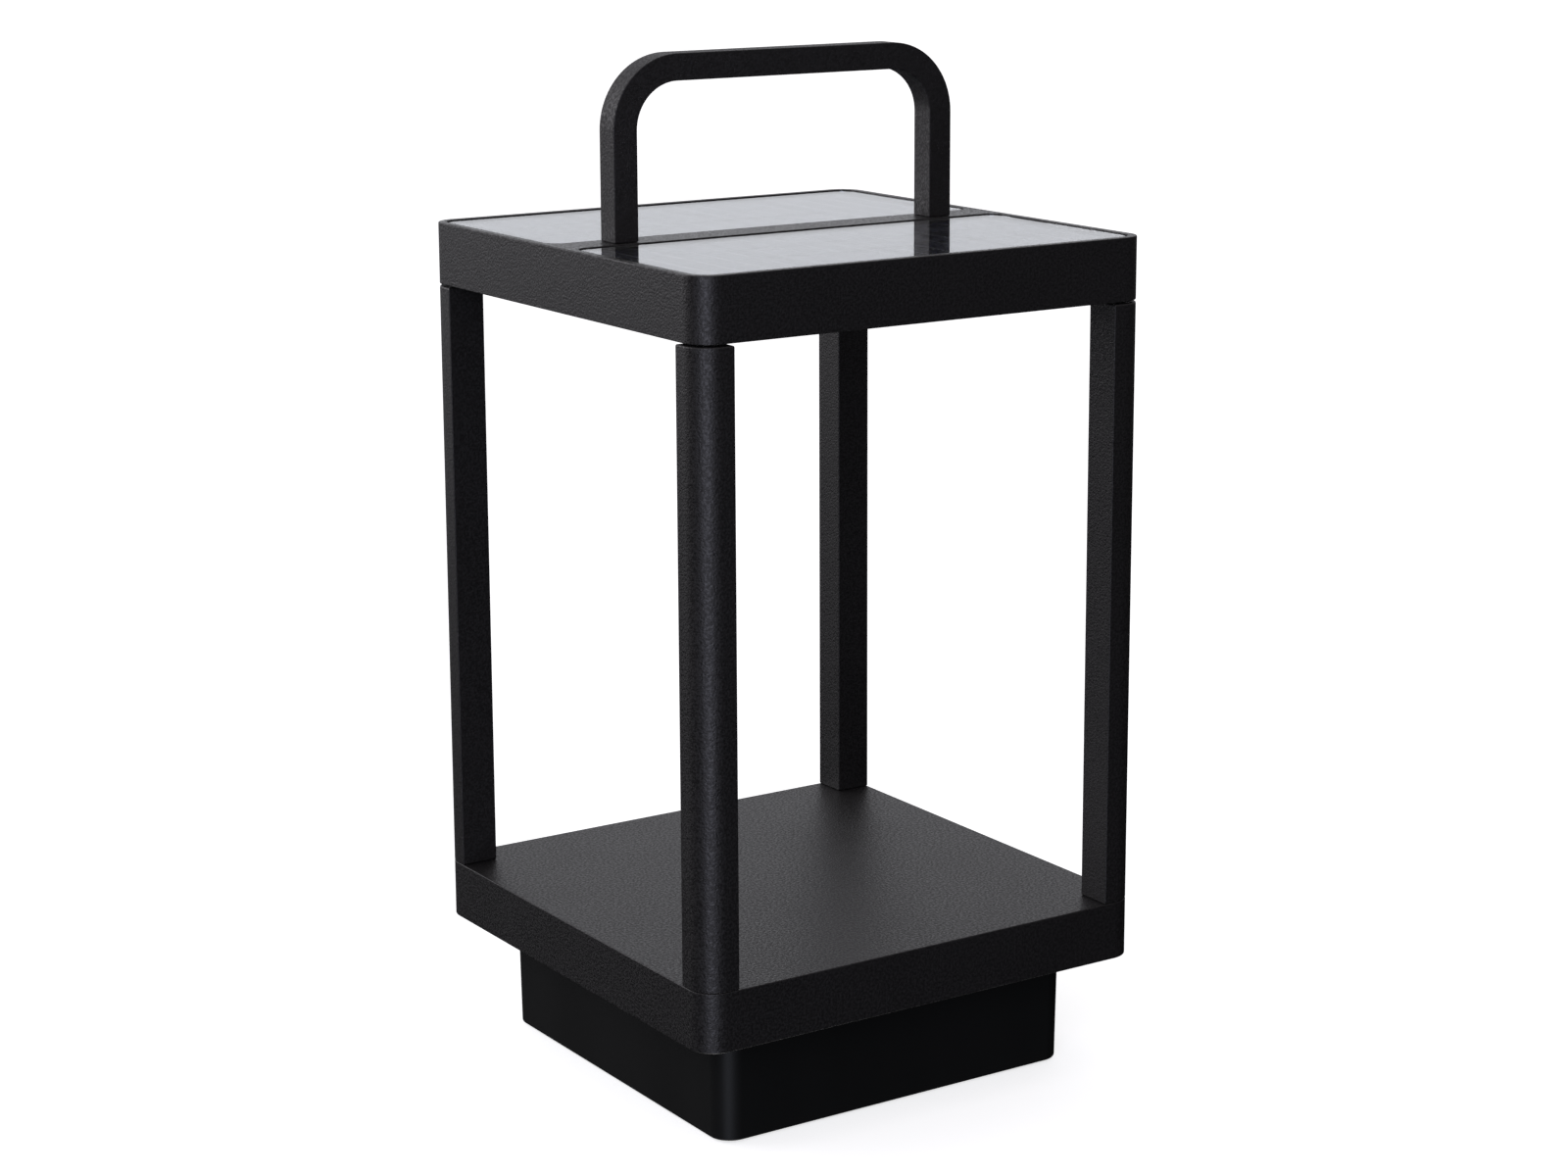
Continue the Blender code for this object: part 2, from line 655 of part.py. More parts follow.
def ballast():
    """Steel weight plate under the base's top, and the bolt that holds it."""
    outline = square(BALLAST_HALF, 6.0, steps=1)
    part = add_object(
        "ballast_plate",
        Shape().loft(((BALLAST_LOW, outline), (BALLAST_HIGH, outline))),
        zinc_steel("ballast_steel"),
    )
    cut(part, Shape().disc(0.0, 0.0, M5_HOLE, BALLAST_LOW - 1, BALLAST_HIGH + 1, steps=8))
    place = (0.0, 0.0, BALLAST_LOW - GAP)
    sizes = (4.0, M5_SHANK, 3.1, 11.5)
    add_screws("ballast", ("bolt",), [place], sizes, zinc_steel("ballast_bolt_steel"))


# ---------------------------------------------------------------- foot
def foot_housing():
    """Moulded foot under the base, slightly narrower at the ground, open at the top."""
    low = square(FOOT_HALF_LOW, FOOT_CORNER - 0.2)
    high = square(FOOT_HALF_HIGH, FOOT_CORNER)
    part = add_object(
        "foot_housing",
        Shape().loft(((FOOT_BOTTOM, low), (FOOT_TOP, high))),
        black_plastic("foot_plastic"),
    )
    seat = FOOT_TOP - 1.3
    inside_low = square(FOOT_HALF_LOW - FOOT_WALL, FOOT_CORNER - FOOT_WALL, INNER_STEPS)
    inside_high = square(FOOT_HALF_HIGH - FOOT_WALL, FOOT_CORNER - FOOT_WALL, INNER_STEPS)
    rebate = square(FOOT_HALF_HIGH - 1.5, FOOT_CORNER - 1.5, INNER_STEPS)
    hollow = ((FOOT_FLOOR, inside_low), (seat, inside_high), (seat, rebate), (FOOT_TOP + 1, rebate))
    cut(part, Shape().loft(hollow))
    towers = Shape()
    pockets = Shape()
    screw_pocket = (
        (3.3, 0.0), (3.3, FOOT_SCREW_SEAT), (M4_HOLE, FOOT_SCREW_SEAT), (M4_HOLE, FOOT_TOP + 1),
    )
    for side_x, side_y in MID_SIDES:
        place = (side_x * FOOT_SCREW, side_y * FOOT_SCREW)
        towers.disc(*place, 4.8, FOOT_FLOOR - 1, FOOT_TOP - 0.5, steps=14)
        pockets.turned(screw_pocket, *place)
    for side_x, side_y in CORNERS:
        pockets.disc(side_x * PAD_PLACE, side_y * PAD_PLACE, PAD_RADIUS + GAP, 0.0, 2.3, steps=20)
    weld(part, towers)
    recess = rectangle((-DOOR_HALF[0], -DOOR_HALF[1]), DOOR_HALF, ((1.8, 3),) * 4)
    hatch = rectangle((-HATCH_HALF[0], -HATCH_HALF[1]), HATCH_HALF, ((2.0, 3),) * 4)
    pockets.loft(((0.0, recess), (DOOR_LEDGE, recess), (DOOR_LEDGE, hatch), (FOOT_FLOOR + 1, hatch)))
    cut(part, pockets)
    door_holes = Shape()
    for side in SIDES:
        place = (DOOR_SCREW[0], side * DOOR_SCREW[1])
        door_holes.disc(*place, M3_HOLE, DOOR_LEDGE - 1, FOOT_FLOOR + 1, steps=8)
        low_y = side * DOOR_TAB_Y - DOOR_TAB_HALF - GAP
        high_y = side * DOOR_TAB_Y + DOOR_TAB_HALF + GAP
        door_holes.block((-DOOR_HALF[0] - 3.0, low_y, 1.7), (-DOOR_HALF[0] + 1.0, high_y, 3.5))
    cut(part, door_holes)


def foot_screws():
    """Long screws up the towers, through the base's cover and into its bosses."""
    places = [(x * FOOT_SCREW, y * FOOT_SCREW, FOOT_SCREW_SEAT - GAP) for x, y in MID_SIDES]
    sizes = (2.9, M4_SHANK, 2.7, 26.0)
    add_screws("foot_screw", MID_SIDE_NAMES, places, sizes, zinc_steel("foot_screw_steel"))


def foot_gasket():
    outer = square(FOOT_HALF_HIGH - 1.8, FOOT_CORNER - 1.8, INNER_STEPS)
    inner = square(FOOT_HALF_HIGH - 3.2, FOOT_CORNER - 3.2, INNER_STEPS)
    low = FOOT_TOP - 1.0
    high = BASE_COVER_LOW - GAP
    levels = ((low, outer), (high, outer), (high, inner), (low, inner))
    add_object("foot_gasket", Shape().hoop(levels), seal_rubber("foot_seal_rubber"))


def rubber_feet():
    """Four round pads set in the foot, proud by a millimetre."""
    profile = ((PAD_RADIUS - 0.9, 0.0), (PAD_RADIUS, 0.8), (PAD_RADIUS, 2.0))
    for (side_x, side_y), word in zip(CORNERS, CORNER_NAMES):
        place = (side_x * PAD_PLACE, side_y * PAD_PLACE, 0.0)
        pad = Shape().turned(profile, steps=20)
        add_object(f"rubber_foot_{word}", pad, seal_rubber(f"pad_{word}"), place)


def battery_door():
    """Door in the floor of the foot: two tabs at one end, two screws at the other, and a seal."""
    half = (DOOR_HALF[0] - GAP, DOOR_HALF[1] - GAP)
    outline = rectangle((-half[0], -half[1]), half, ((1.5, 3),) * 4)
    low = FOOT_BOTTOM + 0.2
    high = DOOR_LEDGE - 1.2
    part = add_object(
        "battery_door", Shape().loft(((low, outline), (high, outline))), black_plastic("door_plastic")
    )
    holes = Shape()
    tabs = Shape()
    for side in SIDES:
        middle = side * DOOR_TAB_Y
        tab_low = (-half[0] - 2.8, middle - DOOR_TAB_HALF, 2.0)
        tab_high = (-half[0] + 1.0, middle + DOOR_TAB_HALF, high - 0.1)
        tabs.block(tab_low, tab_high)
        pocket = ((2.5, 0.0), (2.5, 2.2), (M3_HOLE, 2.2), (M3_HOLE, high + 1))
        holes.turned(pocket, DOOR_SCREW[0], side * DOOR_SCREW[1])
    weld(part, tabs)
    cut(part, holes)
    places = [(DOOR_SCREW[0], side * DOOR_SCREW[1], 1.9) for side in SIDES]
    sizes = (2.1, M3_SHANK, 0.7, 3.9)
    add_screws("battery_door_screw", ("front", "rear"), places, sizes, zinc_steel("door_screw_steel"))
    outer = rectangle((-43.2, -24.2), (43.2, 24.2), ((2.4, 2),) * 4)
    inner = rectangle((-41.6, -22.6), (41.6, 22.6), ((0.8, 2),) * 4)
    seal_low = high + GAP
    seal_high = DOOR_LEDGE - GAP
    levels = ((seal_low, outer), (seal_high, outer), (seal_high, inner), (seal_low, inner))
    add_object("battery_door_gasket", Shape().hoop(levels), seal_rubber("door_seal_rubber"))


def cell_slot(y):
    """Outline in the YZ plane of a slot for one cell, round above and open below."""
    radius = CELL_RADIUS + GAP
    points = [(y - radius, FOOT_FLOOR - 1.0), (y + radius, FOOT_FLOOR - 1.0)]
    for step in range(11):
        turn = math.pi * step / 10
        points.append((y + radius * math.cos(turn), CELL_Z + radius * math.sin(turn)))
    return points


def battery_holder():
    """Cradle that stands on the floor of the foot and carries the circuit board on pegs."""
    low = FOOT_FLOOR + GAP
    body = Shape().block((-38.0, -21.4, low), (38.0, 21.4, 29.0))
    part = add_object("battery_holder", body, black_plastic("holder_plastic"))
    extras = Shape()
    slots = Shape()
    for side in SIDES:
        near = min(side * 37.0, side * 52.0)
        far = max(side * 37.0, side * 52.0)
        extras.block((near, -8.0, low + 0.01), (far, 8.0, low + 2.7))
        reach = CELL_HALF_LENGTH + 0.6
        slots.along_x(cell_slot(side * CELL_Y), -reach, reach)
    for side_x, side_y in CORNERS:
        extras.disc(side_x * 32.0, side_y * 16.0, 2.2, 28.0, BOARD_LOW - GAP, steps=8)
    weld(part, extras)
    cut(part, slots)


def battery_cells():
    """Two cylindrical rechargeable cells lying side by side."""
    outline = circle(0.0, 0.0, CELL_RADIUS, 20)
    for side, word in zip(SIDES, ("front", "rear")):
        add_object(
            f"battery_cell_{word}",
            Shape().along_x(outline, -CELL_HALF_LENGTH, CELL_HALF_LENGTH),
            finish(f"cell_sleeve_{word}", (0.05, 0.12, 0.35), 0.4),
            place=(0.0, side * CELL_Y, CELL_Z),
        )


def charge_controller():
    """Circuit board above the cells, with its coil, connectors and capacitors."""
    part = add_object(
        "charge_controller_board",
        Shape().block((-36.0, -20.0, BOARD_LOW), (36.0, 20.0, BOARD_HIGH)),
        circuit_board("controller_green"),
    )
    seat = BOARD_HIGH - 0.2
    shape = Shape()
    shape.block((-6.0, -6.0, seat), (6.0, 6.0, seat + 6.0))
    shape.block((12.0, -4.0, seat), (20.0, 1.0, seat + 1.4))
    shape.block((-30.0, 6.0, seat), (-16.0, 14.0, seat + 5.7))
    shape.block((16.0, 8.0, seat), (30.0, 16.0, seat + 5.7))
    shape.disc(26.0, -12.0, 4.0, seat, seat + 7.7, steps=16)
    shape.disc(-24.0, -12.0, 3.2, seat, seat + 6.7, steps=16)
    weld(part, shape)


# ---------------------------------------------------------------- wiring
LOOM_ROUTE = (
    (-23.0, 10.0, 42.0), (-22.0, 20.0, 42.8), (-20.5, 33.0, 43.2), (-20.0, 39.5, 47.0),
    (-22.0, 46.0, 50.4), (-32.0, 64.0, 50.7), (-55.0, 78.0, 50.7), (-76.0, 85.0, 50.7),
    (-86.5, 88.0, 53.0), (-WIRE_CHANNEL, WIRE_CHANNEL, 56.5),
    (-WIRE_CHANNEL, WIRE_CHANNEL, 59.0), (-WIRE_CHANNEL, WIRE_CHANNEL, 72.0),
    (-WIRE_CHANNEL, WIRE_CHANNEL, 180.0), (-WIRE_CHANNEL, WIRE_CHANNEL, 302.0),
    (-WIRE_CHANNEL, WIRE_CHANNEL, 310.0), (-WIRE_CHANNEL, WIRE_CHANNEL, 312.0),
    (-86.0, 86.0, 315.6), (-74.0, 68.0, 317.8), (-58.0, 36.0, 318.0), (-46.0, 16.0, 317.8),
)


def smooth_route(points, pieces):
    """Points on a smooth curve through the given ones (centripetal spans, no overshoot)."""
    places = [Vector(point) for point in points]
    route = []
    for index in range(len(places) - 1):
        start = places[index]
        end = places[index + 1]
        before = places[index - 1] if index else start
        after = places[index + 2] if index + 2 < len(places) else end
        span = (end - start).length
        into = (end - before).normalized() * span
        out = (after - start).normalized() * span
        for step in range(pieces):
            t = step / pieces
            a = 2 * t ** 3 - 3 * t ** 2 + 1
            b = t ** 3 - 2 * t ** 2 + t
            c = 3 * t ** 2 - 2 * t ** 3
            d = t ** 3 - t ** 2
            route.append(start * a + into * b + end * c + out * d)
    route.append(places[-1])
    return route


def wiring_loom():
    """Sleeved wires from the controller, up inside one rear post, to the lamp board."""
    curve = bpy.data.curves.new("wiring_loom", "CURVE")
    curve.dimensions = "3D"
    curve.bevel_depth = LOOM_RADIUS * MM
    curve.bevel_resolution = 1
    curve.use_fill_caps = True
    route = smooth_route(LOOM_ROUTE, 3)
    spline = curve.splines.new("POLY")
    spline.points.add(len(route) - 1)
    for point, place in zip(spline.points, route):
        point.co = (*(place * MM), 1.0)
    curve.materials.append(black_plastic("loom_sleeve"))
    part = bpy.data.objects.new("wiring_loom", curve)
    bpy.context.scene.collection.objects.link(part)


def main():
    for old in list(bpy.data.objects):
        bpy.data.objects.remove(old, do_unlink=True)
    head_frame()
    head_bottom_cover()
    head_cover_gasket()
    head_cover_screws()
    solar_panels()
    handle()
    handle_screws()
    led_board()
    light_diffuser()
    lamp_switch()
    for side_y, depth in zip(SIDES, ("front", "rear")):
        for side_x, hand in zip(SIDES, ("left", "right")):
            post(f"post_{depth}_{hand}", side_x, side_y)
    post_screws()
    base_tray()
    base_bottom_cover()
    ballast()
    foot_housing()
    foot_screws()
    foot_gasket()
    rubber_feet()
    battery_door()
    battery_holder()
    battery_cells()
    charge_controller()
    wiring_loom()


main()
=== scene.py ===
"""Square solar lantern: finished pieces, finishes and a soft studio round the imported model.

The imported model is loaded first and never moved. Detailed pieces stand for the nodes
that show, and the other nodes keep their meshes and get a finish. Sizes and heights
in the mesh code are in millimetres, and positions are read from the nodes' boxes.
"""

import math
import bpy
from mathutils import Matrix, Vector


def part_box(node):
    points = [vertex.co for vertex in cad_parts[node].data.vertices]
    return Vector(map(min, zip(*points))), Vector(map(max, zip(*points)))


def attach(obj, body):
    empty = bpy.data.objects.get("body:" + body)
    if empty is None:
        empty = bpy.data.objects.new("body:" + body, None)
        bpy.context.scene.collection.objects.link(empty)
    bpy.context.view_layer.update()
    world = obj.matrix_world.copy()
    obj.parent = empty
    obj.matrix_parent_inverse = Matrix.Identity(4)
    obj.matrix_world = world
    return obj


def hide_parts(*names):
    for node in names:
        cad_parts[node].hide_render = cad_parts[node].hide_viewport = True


bl_info = {
    "name": "Solar Lantern",
    "version": (1, 0, 0),
    "blender": (4, 5, 0),
    "location": "3D View > Sidebar > Lantern",
    "description": "Builds the shown pieces, finishes and studio of a square solar lantern",
    "category": "Add Mesh",
}

import bmesh
import bpy
from mathutils import Vector
from mathutils.geometry import tessellate_polygon

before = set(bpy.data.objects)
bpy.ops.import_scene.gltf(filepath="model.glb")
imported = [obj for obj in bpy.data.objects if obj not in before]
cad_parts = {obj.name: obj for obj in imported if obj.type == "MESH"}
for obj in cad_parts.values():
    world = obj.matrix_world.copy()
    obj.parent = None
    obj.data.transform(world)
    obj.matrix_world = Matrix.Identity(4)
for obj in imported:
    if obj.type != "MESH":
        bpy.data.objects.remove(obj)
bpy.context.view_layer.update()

MM = 0.001
BODY = "lantern"
BUTTON_BODY = "button"
CORNERS = ((-1, -1), (1, -1), (1, 1), (-1, 1))
CORNER_NAMES = ("front_left", "front_right", "rear_right", "rear_left")
MID_NAMES = ("left", "right", "front", "rear")
PANELS = ((-1, "front"), (1, "rear"))
ROUND_STEPS = 14
FINE_STEPS = 64
FINGER_PITCH = 0.0016
BUSBAR_PITCH = 0.0114
LINE_SHARE = 0.045

# Sizes inside the pieces that the nodes' boxes don't give, in millimetres
GASKET_GAP = 0.3
HEAD_WALL = 2.5
HEAD_SHOULDER = 4.5
PANEL_LEDGE = 4.7
PANEL_SEAL = 1.0
BAR_THICKNESS = 6.5
BAR_CORNER = 6.0
COVER_INSET = 2.8
PAD_INSET = 3.4
LIGHT_HOLE = 45.2
BUTTON_HOLE = 6.3
COVER_SCREW_HOLE = 3.1
COVER_SCREW_DEPTH = 1.5
BASE_WALL = 2.5
BASE_PLATE = 3.0
FOOT_WALL = 2.7
FOOT_CORNER = 9.5
FOOT_TAPER = 0.8
FOOT_FLOOR = 6.0
DOOR_LEDGE = 4.4
DOORWAY = (48.0, 29.0)
TOWER_RADIUS = 4.8
TOWER_BORE = 3.3
TOWER_TOP = 34.0
PAD_POCKET = 7.3
PAD_TOP = 2.3
RIB_COUNT = 6
RIB_PITCH = 2.6
RIB_HALF = 9.0
FLANGE = (309.7, 310.9)
SEAT_GAP = 0.05
FLOOR_REACH = 20000.0


# ---------------------------------------------------------------- reading the frame
def span(node):
    """Lowest and highest corner of a node, in millimetres."""
    low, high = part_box(node)
    return Vector(low) / MM, Vector(high) / MM


def middle_of(node):
    """Centre of a node's box, in millimetres."""
    low, high = span(node)
    return (low + high) / 2


# ---------------------------------------------------------------- outlines and profiles
def box_outline(low, high, radii, steps=ROUND_STEPS):
    """Rounded rectangle as a function of how far it is drawn in, counter-clockwise."""

    def outline(inset):
        points = []
        for (side_x, side_y), radius in zip(CORNERS, radii):
            bend = max(radius - inset, 0.05)
            x = (high[0] - inset - bend) if side_x > 0 else (low[0] + inset + bend)
            y = (high[1] - inset - bend) if side_y > 0 else (low[1] + inset + bend)
            middle = math.atan2(side_y, side_x)
            for step in range(steps + 1):
                turn = middle + (step / steps - 0.5) * math.pi / 2
                points.append((x + bend * math.cos(turn), y + bend * math.sin(turn)))
        return points

    return outline


def square_outline(half, radius, steps=ROUND_STEPS):
    return box_outline((-half, -half), (half, half), (radius,) * 4, steps)


def round_outline(x, y, radius, steps):
    """Circle as a function of how far it is drawn in."""

    def outline(inset):
        points = []
        for step in range(steps):
            turn = 2 * math.pi * (step + 0.5) / steps
            reach = radius - inset
            points.append((x + reach * math.cos(turn), y + reach * math.sin(turn)))
        return points

    return outline


def hexagon(x, y, flat, steps):
    """Hexagon with as many points as the circle that it is sunk into."""
    points = []
    for step in range(steps):
        turn = 2 * math.pi * (step + 0.5) / steps
        off_flat = (turn + math.pi / 6) % (math.pi / 3) - math.pi / 6
        reach = flat / math.cos(off_flat)
        points.append((x + reach * math.cos(turn), y + reach * math.sin(turn)))
    return points


def eased(corners, steps=4):
    """Profile of (inset, height) in which corners of (inset, height, radius) are rounded."""
    profile = []
    last = len(corners) - 1
    for index, (inset, height, radius) in enumerate(corners):
        here = Vector((inset, height))
        if radius == 0 or index in (0, last):
            profile.append((inset, height))
            continue
        before = Vector(corners[index - 1][:2]) - here
        after = Vector(corners[index + 1][:2]) - here
        start = here + before.normalized() * radius
        end = here + after.normalized() * radius
        for step in range(steps + 1):
            part = step / steps
            point = start * (1 - part) ** 2 + here * (2 * part * (1 - part)) + end * part**2
            profile.append((point.x, point.y))
    return profile


# ---------------------------------------------------------------- surfaces
class Skin:
    """Closed surface put together from rings of points, in millimetres."""

    def __init__(self):
        self.points = []
        self.faces = []
        self.coats = []
        self.coat = 0

    def face(self, corners):
        self.faces.append(tuple(corners))
        self.coats.append(self.coat)

    def loop(self, points):
        first = len(self.points)
        self.points += [tuple(point) for point in points]
        return list(range(first, len(self.points)))

    def ring(self, outline, height):
        return self.loop([(x, y, height) for x, y in outline])

    def wall(self, low, high):
        count = len(low)
        for index in range(count):
            after = (index + 1) % count
            self.face((low[index], low[after], high[after], high[index]))

    def climb(self, outline, profile):
        """Walls through a profile of (inset, height). Returns the first and last ring."""
        rings = [self.ring(outline(inset), height) for inset, height in profile]
        for low, high in zip(rings, rings[1:]):
            self.wall(low, high)
        return rings[0], rings[-1]

    def plate(self, *rings):
        """Flat face inside the first ring, with the other rings as holes in it."""
        order = [index for ring in rings for index in ring]
        loops = [[Vector(self.points[index]) for index in ring] for ring in rings]
        for triangle in tessellate_polygon(loops):
            self.face([order[corner] for corner in triangle])

    def solid(self, outline, profile):
        """Profile closed by a flat face at each end."""
        first, last = self.climb(outline, profile)
        self.face(first)
        self.face(last)
        return self

    def pit(self, outline, profile):
        """Profile closed at its last ring only. Returns the open first ring."""
        first, last = self.climb(outline, profile)
        self.face(last)
        return first

    def hoop(self, outline, profile):
        """Profile that comes back to its start, as for a ring or a frame."""
        rings = [self.ring(outline(inset), height) for inset, height in profile]
        for low, high in zip(rings, rings[1:] + rings[:1]):
            self.wall(low, high)


def mesh_object(name, skin, finishes):
    """Object whose mesh is a skin as it stands."""
    data = bpy.data.meshes.new(name)
    data.from_pydata([[value * MM for value in point] for point in skin.points], [], skin.faces)
    data.polygons.foreach_set("material_index", skin.coats)
    for finish in finishes:
        data.materials.append(finish)
    made = bpy.data.objects.new(name, data)
    bpy.context.scene.collection.objects.link(made)
    return made


def add_piece(name, skin, finishes, replaced, body=BODY):
    """Smoothed piece that rides on a body and stands for the nodes replaced."""
    piece = mesh_object(name, skin, finishes)
    data = piece.data
    work = bmesh.new()
    work.from_mesh(data)
    bmesh.ops.remove_doubles(work, verts=work.verts, dist=1e-7)
    bmesh.ops.recalc_face_normals(work, faces=work.faces)
    work.to_mesh(data)
    work.free()
    data.shade_smooth()
    data.set_sharp_from_angle(angle=math.radians(40))
    weigh = piece.modifiers.new("even_shading", "WEIGHTED_NORMAL")
    weigh.keep_sharp = True
    weigh.weight = 80
    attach(piece, body)
    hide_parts(*replaced)
    return piece


# ---------------------------------------------------------------- shader boards
class Signal:
    """Shader socket on which arithmetic adds Math nodes."""

    def __init__(self, board, socket):
        self.board = board
        self.socket = socket

    def reckon(self, operation, *values):
        numbers = dict(enumerate(values))
        return self.board.node("ShaderNodeMath", {"operation": operation}, numbers)

    def __add__(self, other):
        return self.reckon("ADD", self, other)

    def __radd__(self, other):
        return self.reckon("ADD", other, self)

    def __sub__(self, other):
        return self.reckon("SUBTRACT", self, other)

    def __rsub__(self, other):
        return self.reckon("SUBTRACT", other, self)

    def __mul__(self, other):
        return self.reckon("MULTIPLY", self, other)

    def __rmul__(self, other):
        return self.reckon("MULTIPLY", other, self)

    def __truediv__(self, other):
        return self.reckon("DIVIDE", self, other)

    def __mod__(self, other):
        return self.reckon("FLOORED_MODULO", self, other)

    def __abs__(self):
        return self.reckon("ABSOLUTE", self)

    def __lt__(self, other):
        return self.reckon("LESS_THAN", self, other)

    def __gt__(self, other):
        return self.reckon("GREATER_THAN", self, other)


class Board:
    """Node tree of one material or world."""

    def __init__(self, tree):
        self.tree = tree
        tree.nodes.clear()

    def node(self, kind, settings, values, output=0):
        """One node: its settings first, then numbers, colours or signals on its sockets."""
        made = self.tree.nodes.new(kind)
        for name, setting in settings.items():
            setattr(made, name, setting)
        for key, value in values.items():
            if isinstance(value, Signal):
                self.tree.links.new(value.socket, made.inputs[key])
            else:
                made.inputs[key].default_value = value
        return Signal(self, made.outputs[output]) if made.outputs else None

    def place(self):
        """Position on the piece, in metres."""
        return self.node("ShaderNodeTexCoord", {}, {}, output="Object")

    def axes(self, vector):
        split = self.node("ShaderNodeSeparateXYZ", {}, {"Vector": vector}, output="X")
        outputs = split.socket.node.outputs
        return split, Signal(self, outputs["Y"]), Signal(self, outputs["Z"])

    def noise(self, place, scale, detail=2.0):
        values = {"Vector": place, "Scale": scale, "Detail": detail}
        return self.node("ShaderNodeTexNoise", {}, values, output="Fac")

    def cells(self, place, scale, spread=1.0, feature="F1"):
        values = {"Vector": place, "Scale": scale, "Randomness": spread}
        return self.node("ShaderNodeTexVoronoi", {"feature": feature}, values, output="Distance")

    def smooth(self, value, low, high):
        """0 below low, 1 above high and a soft step between."""
        values = {"Value": value, "From Min": low, "From Max": high}
        return self.node("ShaderNodeMapRange", {"interpolation_type": "SMOOTHSTEP"}, values)

    def blend(self, factor, first, second):
        """Colour between two colours or colour signals."""
        values = {0: factor, 6: first, 7: second}
        return self.node("ShaderNodeMix", {"data_type": "RGBA"}, values, output=2)

    def stretch(self, place, x, y, z):
        values = {0: place, 1: (x, y, z)}
        return self.node("ShaderNodeVectorMath", {"operation": "MULTIPLY"}, values)

    def bump(self, height, strength, distance):
        values = {"Height": height, "Strength": strength, "Distance": distance}
        return self.node("ShaderNodeBump", {}, values)


def tone(colour, factor=1.0):
    """Colour property as four numbers, made lighter or darker by a factor."""
    return (*[channel * factor for channel in colour[:3]], 1.0)


def make_finish(name, pattern, *values):
    """Principled material whose sockets are filled by a pattern."""
    material = bpy.data.materials.new(name)
    material.use_nodes = True
    board = Board(material.node_tree)
    settings = pattern(board, board.place(), *values)
    shader = board.node("ShaderNodeBsdfPrincipled", {}, settings)
    board.node("ShaderNodeOutputMaterial", {}, {"Surface": shader})
    return material


def powder_coat(board, place, colour, rough):
    """Matt powder coat: fine close grain over a soft orange peel."""
    grain = board.noise(place, 1500.0, detail=1.5)
    nubs = board.cells(place, 1150.0)
    peel = board.noise(place, 210.0, detail=1.0)
    cloud = board.noise(place, 26.0, detail=3.0)
    mottle = board.noise(place, 1000.0, detail=2.0)
    height = grain * 0.5 + nubs * 0.55 + mottle * 0.6 + peel * 0.15
    speck = board.smooth(grain, 0.52, 0.78)
    return {
        "IOR": 1.5,
        "Specular Tint": (1.0, 0.95, 0.965, 1.0),
        "Base Color": board.blend(
            speck * 0.6 + cloud * 0.4, tone(colour, 0.65), tone(colour, 1.5)
        ),
        "Roughness": (rough - 0.15) + cloud * 0.06 + board.smooth(mottle, 0.36, 0.64) * 0.24,
        "Normal": board.bump(height, 0.52, 0.00026),
    }


def moulded_plastic(board, place, colour, rough):
    """Spark-eroded black plastic with faint flow marks."""
    spark = board.noise(place, 2400.0, detail=2.0)
    flow = board.noise(board.stretch(place, 1.0, 1.0, 0.25), 30.0, detail=3.0)
    return {
        "IOR": 1.36,
        "Base Color": board.blend(flow, tone(colour, 0.75), tone(colour, 1.3)),
        "Roughness": (rough - 0.05) + flow * 0.05 + spark * 0.08,
        "Normal": board.bump(spark, 0.25, 0.00004),
    }


def soft_rubber(board, place, colour, rough):
    """Matt rubber with fine mould grain and a dusty bloom."""
    grain = board.noise(place, 1800.0, detail=3.0)
    bloom = board.noise(place, 90.0, detail=4.0)
    return {
        "Specular IOR Level": 0.35,
        "Base Color": board.blend(bloom, tone(colour, 0.7), tone(colour, 1.7)),
        "Roughness": (rough - 0.08) + bloom * 0.16,
        "Normal": board.bump(grain, 0.35, 0.00006),
    }


def plated_steel(board, place, colour, rough):
    """Zinc plate: turned rings too fine to count, with cloudy spangle."""
    spangle = board.cells(place, 420.0)
    cloud = board.noise(place, 160.0, detail=4.0)
    fine = board.noise(board.stretch(place, 1.0, 1.0, 9.0), 900.0, detail=2.0)
    return {
        "Metallic": 1.0,
        "Base Color": board.blend(cloud, tone(colour, 0.75), tone(colour, 1.1)),
        "Roughness": (rough - 0.05) + spangle * 0.12 + cloud * 0.08,
        "Normal": board.bump(fine, 0.15, 0.00003),
    }


def panel_glass(board, place, colour):
    """Clear tempered cover glass with the faintest ripple and handling marks."""
    ripple = board.noise(place, 16.0, detail=1.0)
    marks = board.noise(place, 240.0, detail=5.0)
    return {
        "Base Color": tone(colour),
        "Transmission Weight": 1.0,
        "IOR": 1.5,
        "Roughness": 0.01 + board.smooth(marks, 0.62, 0.85) * 0.02,
        "Normal": board.bump(ripple, 0.01, 0.0001),
    }


def cell_wafer(board, place, colour, line_colour):
    """Monocrystalline wafer: deep blue with fine fingers and wider busbars."""
    x, y, _ = board.axes(place)
    finger = abs((y / FINGER_PITCH) % 1.0 - 0.5) < LINE_SHARE
    busbar = abs((x / BUSBAR_PITCH) % 1.0 - 0.5) < LINE_SHARE
    lines = board.smooth(finger + busbar, 0.0, 1.0)
    cloud = board.noise(place, 35.0, detail=4.0)
    wafer = board.blend(cloud, tone(colour, 0.6), tone(colour, 1.5))
    return {
        "IOR": 1.6,
        "Base Color": board.blend(lines, wafer, tone(line_colour)),
        "Metallic": lines * 0.8,
        "Roughness": 0.22 + cloud * 0.1 + lines * 0.12,
        "Normal": board.bump(lines, 0.2, 0.00002),
    }


